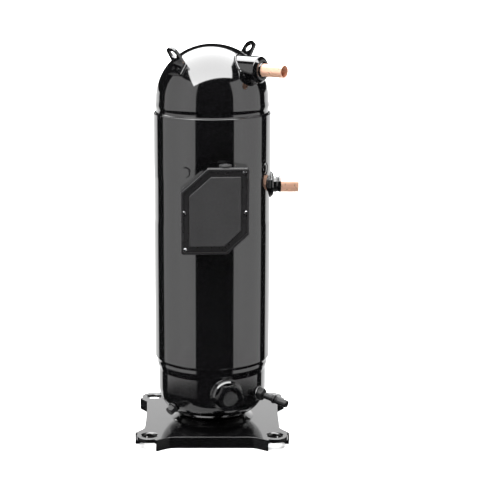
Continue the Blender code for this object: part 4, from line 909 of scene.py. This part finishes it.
class COMPRESSOR_OT_sight_glass(Piece, bpy.types.Operator):
    """Oil sight glass: welded boss, hexagon body with its bezel and the glass"""
    bl_idname = "compressor.sight_glass"
    bl_label = "Sight glass"

    def execute(self, context):
        shell, fittings = sizes()
        low, high = corners("sight_glass_boss")
        place = facing(math.radians(15.5), (low.z + high.z) / 2)
        radius, face, hex_end, lens_r = 23.5, 92.0, 105.0, 12.0
        edge = fittings.edge / MM
        boss = lathe(((14.5, 68), (radius, 68), (radius, face - 2.5), (radius - 2.5, face),
                      (14.5, face)), MEDIUM)
        settle("sight_glass_boss_turned", soften(boss, edge, 3), "black_paint", ("sight_glass_boss",),
               place)
        settle("sight_glass_weld", bead(seam(place, radius, 50, 95), shell.bead / MM * 1.2), "black_paint")
        body = prism(polygon(6, 37.0, math.pi / 2), face + 0.3, hex_end)
        blank = lathe(((0, face), (21.4, face), (21.4, hex_end - 1.6), (18.6, hex_end + 0.01),
                       (0, hex_end + 0.01)), MEDIUM)
        body = combined(body, blank, "INTERSECT")
        recess = lathe(((0, 60), (10.0, 60), (10.0, hex_end - 8.2), (lens_r + 0.3, hex_end - 8.2),
                        (lens_r + 0.3, hex_end - 2.2), (lens_r + 1.6, hex_end - 0.6),
                        (lens_r + 1.6, hex_end + 5), (0, hex_end + 5)), MEDIUM)
        body = combined(body, recess, "DIFFERENCE")
        settle("sight_glass_hexagon", soften(body, edge * 0.6), "black_paint", ("sight_glass_body",),
               place)
        bezel = [(lens_r + out, hex_end - drop) for out, drop in
                 ((-0.9, 1.5), (-0.9, 0.9), (-0.3, 0.5), (1.1, 0.5), (1.4, 0.9), (1.1, 1.5))]
        settle("sight_glass_bezel", lathe(bezel, MEDIUM), "black_paint", (), place)
        crown = [(0.0, hex_end - 6.5), (lens_r, hex_end - 6.5), (lens_r, hex_end - 1.9),
                 (lens_r - 1.0, hex_end - 1.6)]
        crown += [(r, hex_end - 1.6 + 0.5 * (1 - (r / lens_r) ** 2)) for r in (9.0, 6.0, 3.0, 0.0)]
        settle("sight_glass_window", lathe(crown, MEDIUM), "glass", ("sight_glass_lens",), place)
        back = lathe(((0, hex_end - 7.9), (3.2, hex_end - 7.9), (4.0, hex_end - 7.0), (9.6, hex_end - 7.6),
                      (9.6, hex_end - 8.6), (0, hex_end - 8.6)), MEDIUM)
        settle("sight_glass_baffle", back, "steel", (), place)
        return {"FINISHED"}


class COMPRESSOR_OT_valve_and_plug(Piece, bpy.types.Operator):
    """Oil service valve with its boss, stem and cap, and the hexagon drain plug"""
    bl_idname = "compressor.valve_and_plug"
    bl_label = "Service valve and drain plug"

    def execute(self, context):
        shell, fittings = sizes()
        edge = fittings.edge / MM
        place = facing(math.radians(60.0), 53.0, LOW_R, math.radians(12.0))
        boss = [(5.05, -12), (9.5, -12), (9.5, 6.4)] + arc((6.9, 6.4), 2.6, 0.0, 90.0, 5) + [(5.05, 9.0)]
        settle("service_valve_boss_turned", lathe(boss, MEDIUM), "black_paint",
               ("service_valve_boss",), place, "fitting_paint")
        settle("service_valve_weld", bead(seam(place, 9.5, -12, 12, 72), shell.bead / MM), "black_paint")
        tube = [(2.5, -10), (4.75, -10), (4.75, 9.5), (5.0, 10), (5.0, 12), (4.75, 12.5), (4.75, 24),
                (6.2, 25), (6.65, 25.5), (6.65, 28), (6.2, 28.5), (3.75, 28.5), (3.75, 44), (2.5, 44)]
        settle("service_valve_stem", soften(lathe(tube, SMALL), 0.2), "black_paint",
               ("service_valve_tube",), place, "fitting_paint")
        cap = [(4.05, 30), (5.4, 30), (5.75, 30.4), (5.75, 31.6), (5.2, 32.1), (5.2, 32.9), (5.75, 33.4),
               (5.75, 48.8), (4.9, 50), (0.0, 50), (0.0, 48), (4.05, 48)]
        knurled = soften(lathe(cap, 96), 0.15)
        for vert in knurled.verts:
            spin = math.atan2(vert.co.y, vert.co.x)
            if 34.0 < vert.co.z < 48.0 and vert.co.xy.length > 5.5:
                vert.co.xy *= 1.0 - 0.035 * (0.5 + 0.5 * math.cos(spin * 24))
        settle("service_valve_cap_knurled", knurled, "black_paint", ("service_valve_cap",), place,
               "fitting_paint")

        slope = math.radians(30.0)
        plug_place = facing(math.radians(-49.0), CAP_BASE + KNUCKLE_R * (1 - math.sin(slope)),
                            LOW_R - KNUCKLE_R * (1 - math.cos(slope)), slope)
        head = prism(polygon(6, 13.0), 2.0, 12.0)
        dome = lathe(((0, 1), (7.6, 1), (7.6, 10.6), (6.4, 12), (0, 12)), SMALL)
        head = soften(combined(head, dome, "INTERSECT"), edge * 0.5)
        collar = lathe(((0, -7), (7.0, -7), (7.0, 0.8), (9.0, 1.0), (9.0, 2.9), (8.3, 3.5), (0, 3.5)), SMALL)
        settle("drain_plug_hexagon", added(head, soften(collar, edge * 0.5)), "black_paint",
               ("drain_plug",), plug_place, "fitting_paint")
        return {"FINISHED"}


class COMPRESSOR_OT_terminal_box(Piece, bpy.types.Operator):
    """Terminal box: tray, gasket, moulded cover with its raised panel, screws and conduit plug"""
    bl_idname = "compressor.terminal_box"
    bl_label = "Terminal box"

    AZIMUTH = math.radians(2.1)
    WIDTH, HEIGHT = 100.0, 127.5
    TOP_CUT, LOW_CUT = (39.5, 35.0), (32.0, 30.0)
    CORNER_R = 4.0
    TRAY_REACH = 22.5             # the tray's edge beyond the shell
    GASKET_T = 2.0
    SCREWS = ((43.5, 58.0), (-46.0, -2.0), (45.6, -1.6), (-44.0, -57.0))

    def execute(self, context):
        _, fittings = sizes()
        edge = fittings.edge / MM
        low, high = corners("terminal_cover")
        place = facing(self.AZIMUTH, (low.z + high.z) / 2)
        front = SHELL_R + self.TRAY_REACH
        tray = prism(self.outline(), 45.0, front)
        tray = soften(tray, 1.2, 3, lambda e: all(v.co.z > front - 0.1 for v in e.verts))
        tray = combined(tray, prism(self.outline(2.5), 40.0, front + 10), "DIFFERENCE")
        core = rod(SHELL_R - 0.6, -300, 300, ROUND)
        tray = combined(tray, moved(core, place.to_3x3().inverted().to_4x4()), "DIFFERENCE")
        settle("terminal_tray_pressing", tray, "black_paint", ("terminal_tray",), place)
        gasket = combined(prism(self.outline(0.6), front, front + self.GASKET_T),
                          prism(self.outline(8.0), front - 5, front + 8), "DIFFERENCE")
        settle("terminal_gasket_strip", gasket, "rubber", ("terminal_gasket",), place)
        self.cover(place, front + self.GASKET_T, fittings.cover_edge / MM)
        for number, (x, y) in enumerate(self.SCREWS, 1):
            self.screw(number, place @ Matrix.Translation((x, y, front + 3.6)), edge)
        self.conduit_plug(place)
        return {"FINISHED"}

    def outline(self, margin=0.0):
        w, h = self.WIDTH / 2, self.HEIGHT / 2
        top, low = self.TOP_CUT, self.LOW_CUT
        shape = [(-w, -h), (w - low[0], -h), (w, -h + low[1]), (w, h), (-w + top[0], h), (-w, h - top[1])]
        return rounded(inset(shape, margin), max(self.CORNER_R - margin, 1.5))

    def cover(self, place, start, edge):
        """Rim with a wide bevel, a sunk channel for the screws and a raised, grained middle panel whose
        colour is painted lighter than the rim as painted light.
        """
        rim_top, floor, panel = start + 4.6, start + 1.6, start + 5.55
        body = prism(self.outline(), start, rim_top)
        body = soften(body, edge, 3, lambda e: all(v.co.z > rim_top - 0.1 for v in e.verts))
        body = combined(body, prism(self.outline(3.4), floor, rim_top + 5), "DIFFERENCE")
        soften(body, 0.35, 2, lambda e: all(floor - 0.1 < v.co.z < rim_top + 0.1 for v in e.verts),
               math.radians(60.0))
        settle("terminal_cover_rim", body, "cover_plastic", ("terminal_cover",), place)
        pad = prism(self.outline(12.2), floor + 0.02, panel)
        pad = soften(pad, 1.5, 3, lambda e: all(v.co.z > panel - 0.1 for v in e.verts))
        # the panel's finish is the cover plastic painted lighter, painted light over a real grain
        settle("terminal_cover_panel", pad, "cover_plastic", (), place, "cover_panel")

    def screw(self, number, place, edge):
        """Pan head with a cross recess on a short washer."""
        head = lathe([(0.0, -2.0), (1.5, -2.0), (1.5, 0.0), (3.5, 0.0), (3.5, 0.5), (2.9, 0.5)]
                     + arc((1.7, 1.2), 1.2, 0.0, 80.0, 5) + [(0.0, 2.45)], SMALL)
        for turn in (0.0, math.pi / 2):
            slot = prism(((-1.7, -0.32), (1.7, -0.32), (1.7, 0.32), (-1.7, 0.32)), 1.5, 4.0)
            head = combined(head, moved(slot, Matrix.Rotation(turn + 0.4 * number, 4, "Z")), "DIFFERENCE")
        settle("cover_screw_%d_head" % number, head, "zinc_steel", ("cover_screw_%d" % number,), place)

    def conduit_plug(self, place):
        """Domed blanking plug in the roof of the tray."""
        low, high = corners("conduit_plug")
        middle = (low + high) / 2
        spot = Matrix.Translation((middle.x, middle.y, 0.0))
        rise = arc((7.9, high.z - 1.6), 1.6, 0.0, 90.0, 5)
        plug = lathe([(0.0, low.z), (7.0, low.z), (7.0, high.z - 3.6), (9.5, high.z - 3.6)] + rise
                     + [(6.0, high.z), (5.2, high.z - 0.8), (0.0, high.z - 0.8)], SMALL)
        settle("conduit_plug_dome", plug, "rubber", ("conduit_plug",), spot)


# ---------------------------------------------------------------- stage

class COMPRESSOR_OT_stage(Piece, bpy.types.Operator):
    """Pale floor, studio light and the camera"""
    bl_idname = "compressor.stage"
    bl_label = "Stage"

    LEFT_BOX, RIGHT_BOX = (-112.0, -33.0), (43.0, 113.0)     # azimuths, in degrees from the front
    BOX_TILT = (-17.9, 38.0)
    BOX_BLUR, TILT_BLUR = 1.5, 0.8
    HORIZON = 0.02                # least height at which the overhead window is worked out
    DIM = 0.012                   # light between the softboxes
    # sides of the overhead window: slant, place and blur
    WINDOW_FRONT, WINDOW_REAR = (0.35, -0.86, 0.06), (0.35, 1.45, 0.25)
    WINDOW_LEFT, WINDOW_RIGHT = (0.3, -0.78, 0.05), (0.5, 0.55, 0.05)
    LENS, SHIFT = 106.75, 0.0756
    PLACE, PITCH = (0.0, -2.2359, 0.7655), 0.2178

    def execute(self, context):
        self.floor(cad_box[0].z)
        self.card()
        self.sky(context.scene)
        self.camera(context.scene)
        context.scene.view_settings.view_transform = "Standard"
        return {"FINISHED"}

    @staticmethod
    def sheet(name, across, up, place):
        mesh = bmesh.new()
        bmesh.ops.create_grid(mesh, x_segments=1, y_segments=1, size=0.5)
        mesh.transform(place @ Matrix.Diagonal((across, up, 1.0, 1.0)))
        made = linked(name, baked(name, mesh))
        return made

    def floor(self, height):
        made = self.sheet("floor", 30.0, 30.0, Matrix.Translation((0.0, 0.0, height)))
        graph = Graph("pale_floor")
        graph.set(Base_Color=(0.86, 0.86, 0.86, 1.0), Roughness=0.9, Specular_IOR_Level=0.1)
        made.data.materials.append(graph.material)
        made.visible_glossy = False

    def card(self):
        """White card behind the compressor, seen only as a reflection."""
        place = Matrix.Translation((0.06, 1.0, 0.0)) @ Matrix.Rotation(math.pi / 2, 4, "X")
        made = self.sheet("rear_card", 2.26, 1.04, place)
        graph = Graph("card_light")
        graph.set(Base_Color=(0.0, 0.0, 0.0, 1.0), Emission_Color=(1.0, 1.0, 1.0, 1.0),
                  Emission_Strength=1.1)
        made.data.materials.append(graph.material)
        made.visible_camera = False
        made.visible_shadow = False

    def sky(self, scene):
        """White to the camera; to everything else a dark studio with softboxes left, right and above."""
        world = bpy.data.worlds.new("studio")
        scene.world = world
        world.use_nodes = True
        tree = world.node_tree
        tree.nodes.clear()

        def node(kind, *inputs, **settings):
            return wired(tree, kind, enumerate(inputs), settings)

        def calc(operation, *inputs):
            return node("ShaderNodeMath", *inputs, operation=operation).outputs[0]

        def step(value, edge, soft):
            return node("ShaderNodeMapRange", value, edge - soft / 2, edge + soft / 2, 0.0, 1.0,
                        interpolation_type="SMOOTHSTEP").outputs[0]

        def between(value, low, high, soft):
            return calc("MULTIPLY", step(value, low, soft), calc("SUBTRACT", 1.0, step(value, high, soft)))
        axes = node("ShaderNodeSeparateXYZ", node("ShaderNodeTexCoord").outputs["Generated"]).outputs
        azimuth = calc("MULTIPLY", calc("ARCTAN2", axes[0], calc("MULTIPLY", axes[1], -1.0)), 180 / math.pi)
        tilt = calc("MULTIPLY", calc("ARCSINE", axes[2]), 180 / math.pi)
        level = between(tilt, *self.BOX_TILT, self.TILT_BLUR)
        left = calc("MULTIPLY", calc("MULTIPLY", between(azimuth, *self.LEFT_BOX, self.BOX_BLUR), level),
                    node("ShaderNodeMapRange", azimuth, -112.0, -60.0, 0.75, 1.25).outputs[0])
        right = calc("MULTIPLY", calc("MULTIPLY", between(azimuth, *self.RIGHT_BOX, self.BOX_BLUR), level),
                     node("ShaderNodeMapRange", azimuth, 60.0, 113.0, 1.25, 0.8).outputs[0])
        height = calc("MAXIMUM", axes[2], self.HORIZON)
        u, v = calc("DIVIDE", axes[0], height), calc("DIVIDE", axes[1], height)
        near = calc("MINIMUM", v, 0.0)

        def past(operation, first, second, slant, place, blur):
            return step(calc(operation, first, calc("MULTIPLY", second, slant)), place, blur)
        front = past("SUBTRACT", v, u, *self.WINDOW_FRONT)
        rear = calc("SUBTRACT", 1.0, past("ADD", v, u, *self.WINDOW_REAR))
        side = past("SUBTRACT", u, near, *self.WINDOW_LEFT)
        far = calc("SUBTRACT", 1.0, past("ADD", u, near, *self.WINDOW_RIGHT))
        fade = node("ShaderNodeMapRange", v, -0.9, 1.3, 10.0, 6.0).outputs[0]
        above = calc("MULTIPLY", calc("MULTIPLY", front, rear), calc("MULTIPLY", side, far))
        above = calc("MULTIPLY", calc("MULTIPLY", above, step(axes[2], 0.05, 0.05)), fade)
        total = calc("ADD", calc("ADD", left, right), calc("ADD", above, self.DIM))
        dark = node("ShaderNodeBackground", (1.0, 1.0, 1.0, 1.0), total)
        white = node("ShaderNodeBackground", (1.0, 1.0, 1.0, 1.0), 1.0)
        seen = node("ShaderNodeLightPath").outputs["Is Camera Ray"]
        mix = node("ShaderNodeMixShader", seen, dark.outputs[0], white.outputs[0])
        node("ShaderNodeOutputWorld", mix.outputs[0])

    def camera(self, scene):
        data = bpy.data.cameras.new("camera")
        data.lens = self.LENS
        data.sensor_width = 36.0
        data.shift_x = self.SHIFT
        made = linked("camera", data)
        made.location = self.PLACE
        made.rotation_euler = (math.pi / 2 - self.PITCH, 0.0, 0.0)
        scene.camera = made


# ---------------------------------------------------------------- add-on

class COMPRESSOR_PT_pieces(bpy.types.Panel):
    """Lists the pieces in the 3D view's sidebar"""
    bl_label = "Scroll compressor"
    bl_idname = "COMPRESSOR_PT_pieces"
    bl_space_type = "VIEW_3D"
    bl_region_type = "UI"
    bl_category = "Compressor"

    def draw(self, context):
        layout = self.layout
        for group in (context.scene.compressor_shell, context.scene.compressor_fittings,
                      context.scene.compressor_colours):
            box = layout.box()
            for key in group.__annotations__:
                box.prop(group, key)
        for operator in OPERATORS:
            layout.operator(operator.bl_idname)


GROUPS = {"compressor_shell": ShellSizes, "compressor_fittings": FittingSizes,
          "compressor_colours": FinishColours}
OPERATORS = (COMPRESSOR_OT_stage, COMPRESSOR_OT_finishes, COMPRESSOR_OT_shell, COMPRESSOR_OT_caps,
             COMPRESSOR_OT_base_plate, COMPRESSOR_OT_suction, COMPRESSOR_OT_discharge,
             COMPRESSOR_OT_lifting_eyes, COMPRESSOR_OT_sight_glass, COMPRESSOR_OT_valve_and_plug,
             COMPRESSOR_OT_terminal_box)


def register():
    for group in GROUPS.values():
        bpy.utils.register_class(group)
    for operator in OPERATORS:
        bpy.utils.register_class(operator)
    bpy.utils.register_class(COMPRESSOR_PT_pieces)
    for name, group in GROUPS.items():
        setattr(bpy.types.Scene, name, PointerProperty(type=group))


def unregister():
    for name in GROUPS:
        delattr(bpy.types.Scene, name)
    bpy.utils.unregister_class(COMPRESSOR_PT_pieces)
    for operator in reversed(OPERATORS):
        bpy.utils.unregister_class(operator)
    for group in reversed(GROUPS.values()):
        bpy.utils.unregister_class(group)


def main():
    register()
    for operator in OPERATORS:
        group, name = operator.bl_idname.split(".")
        getattr(getattr(bpy.ops, group), name)()


if __name__ == "__main__":
    main()
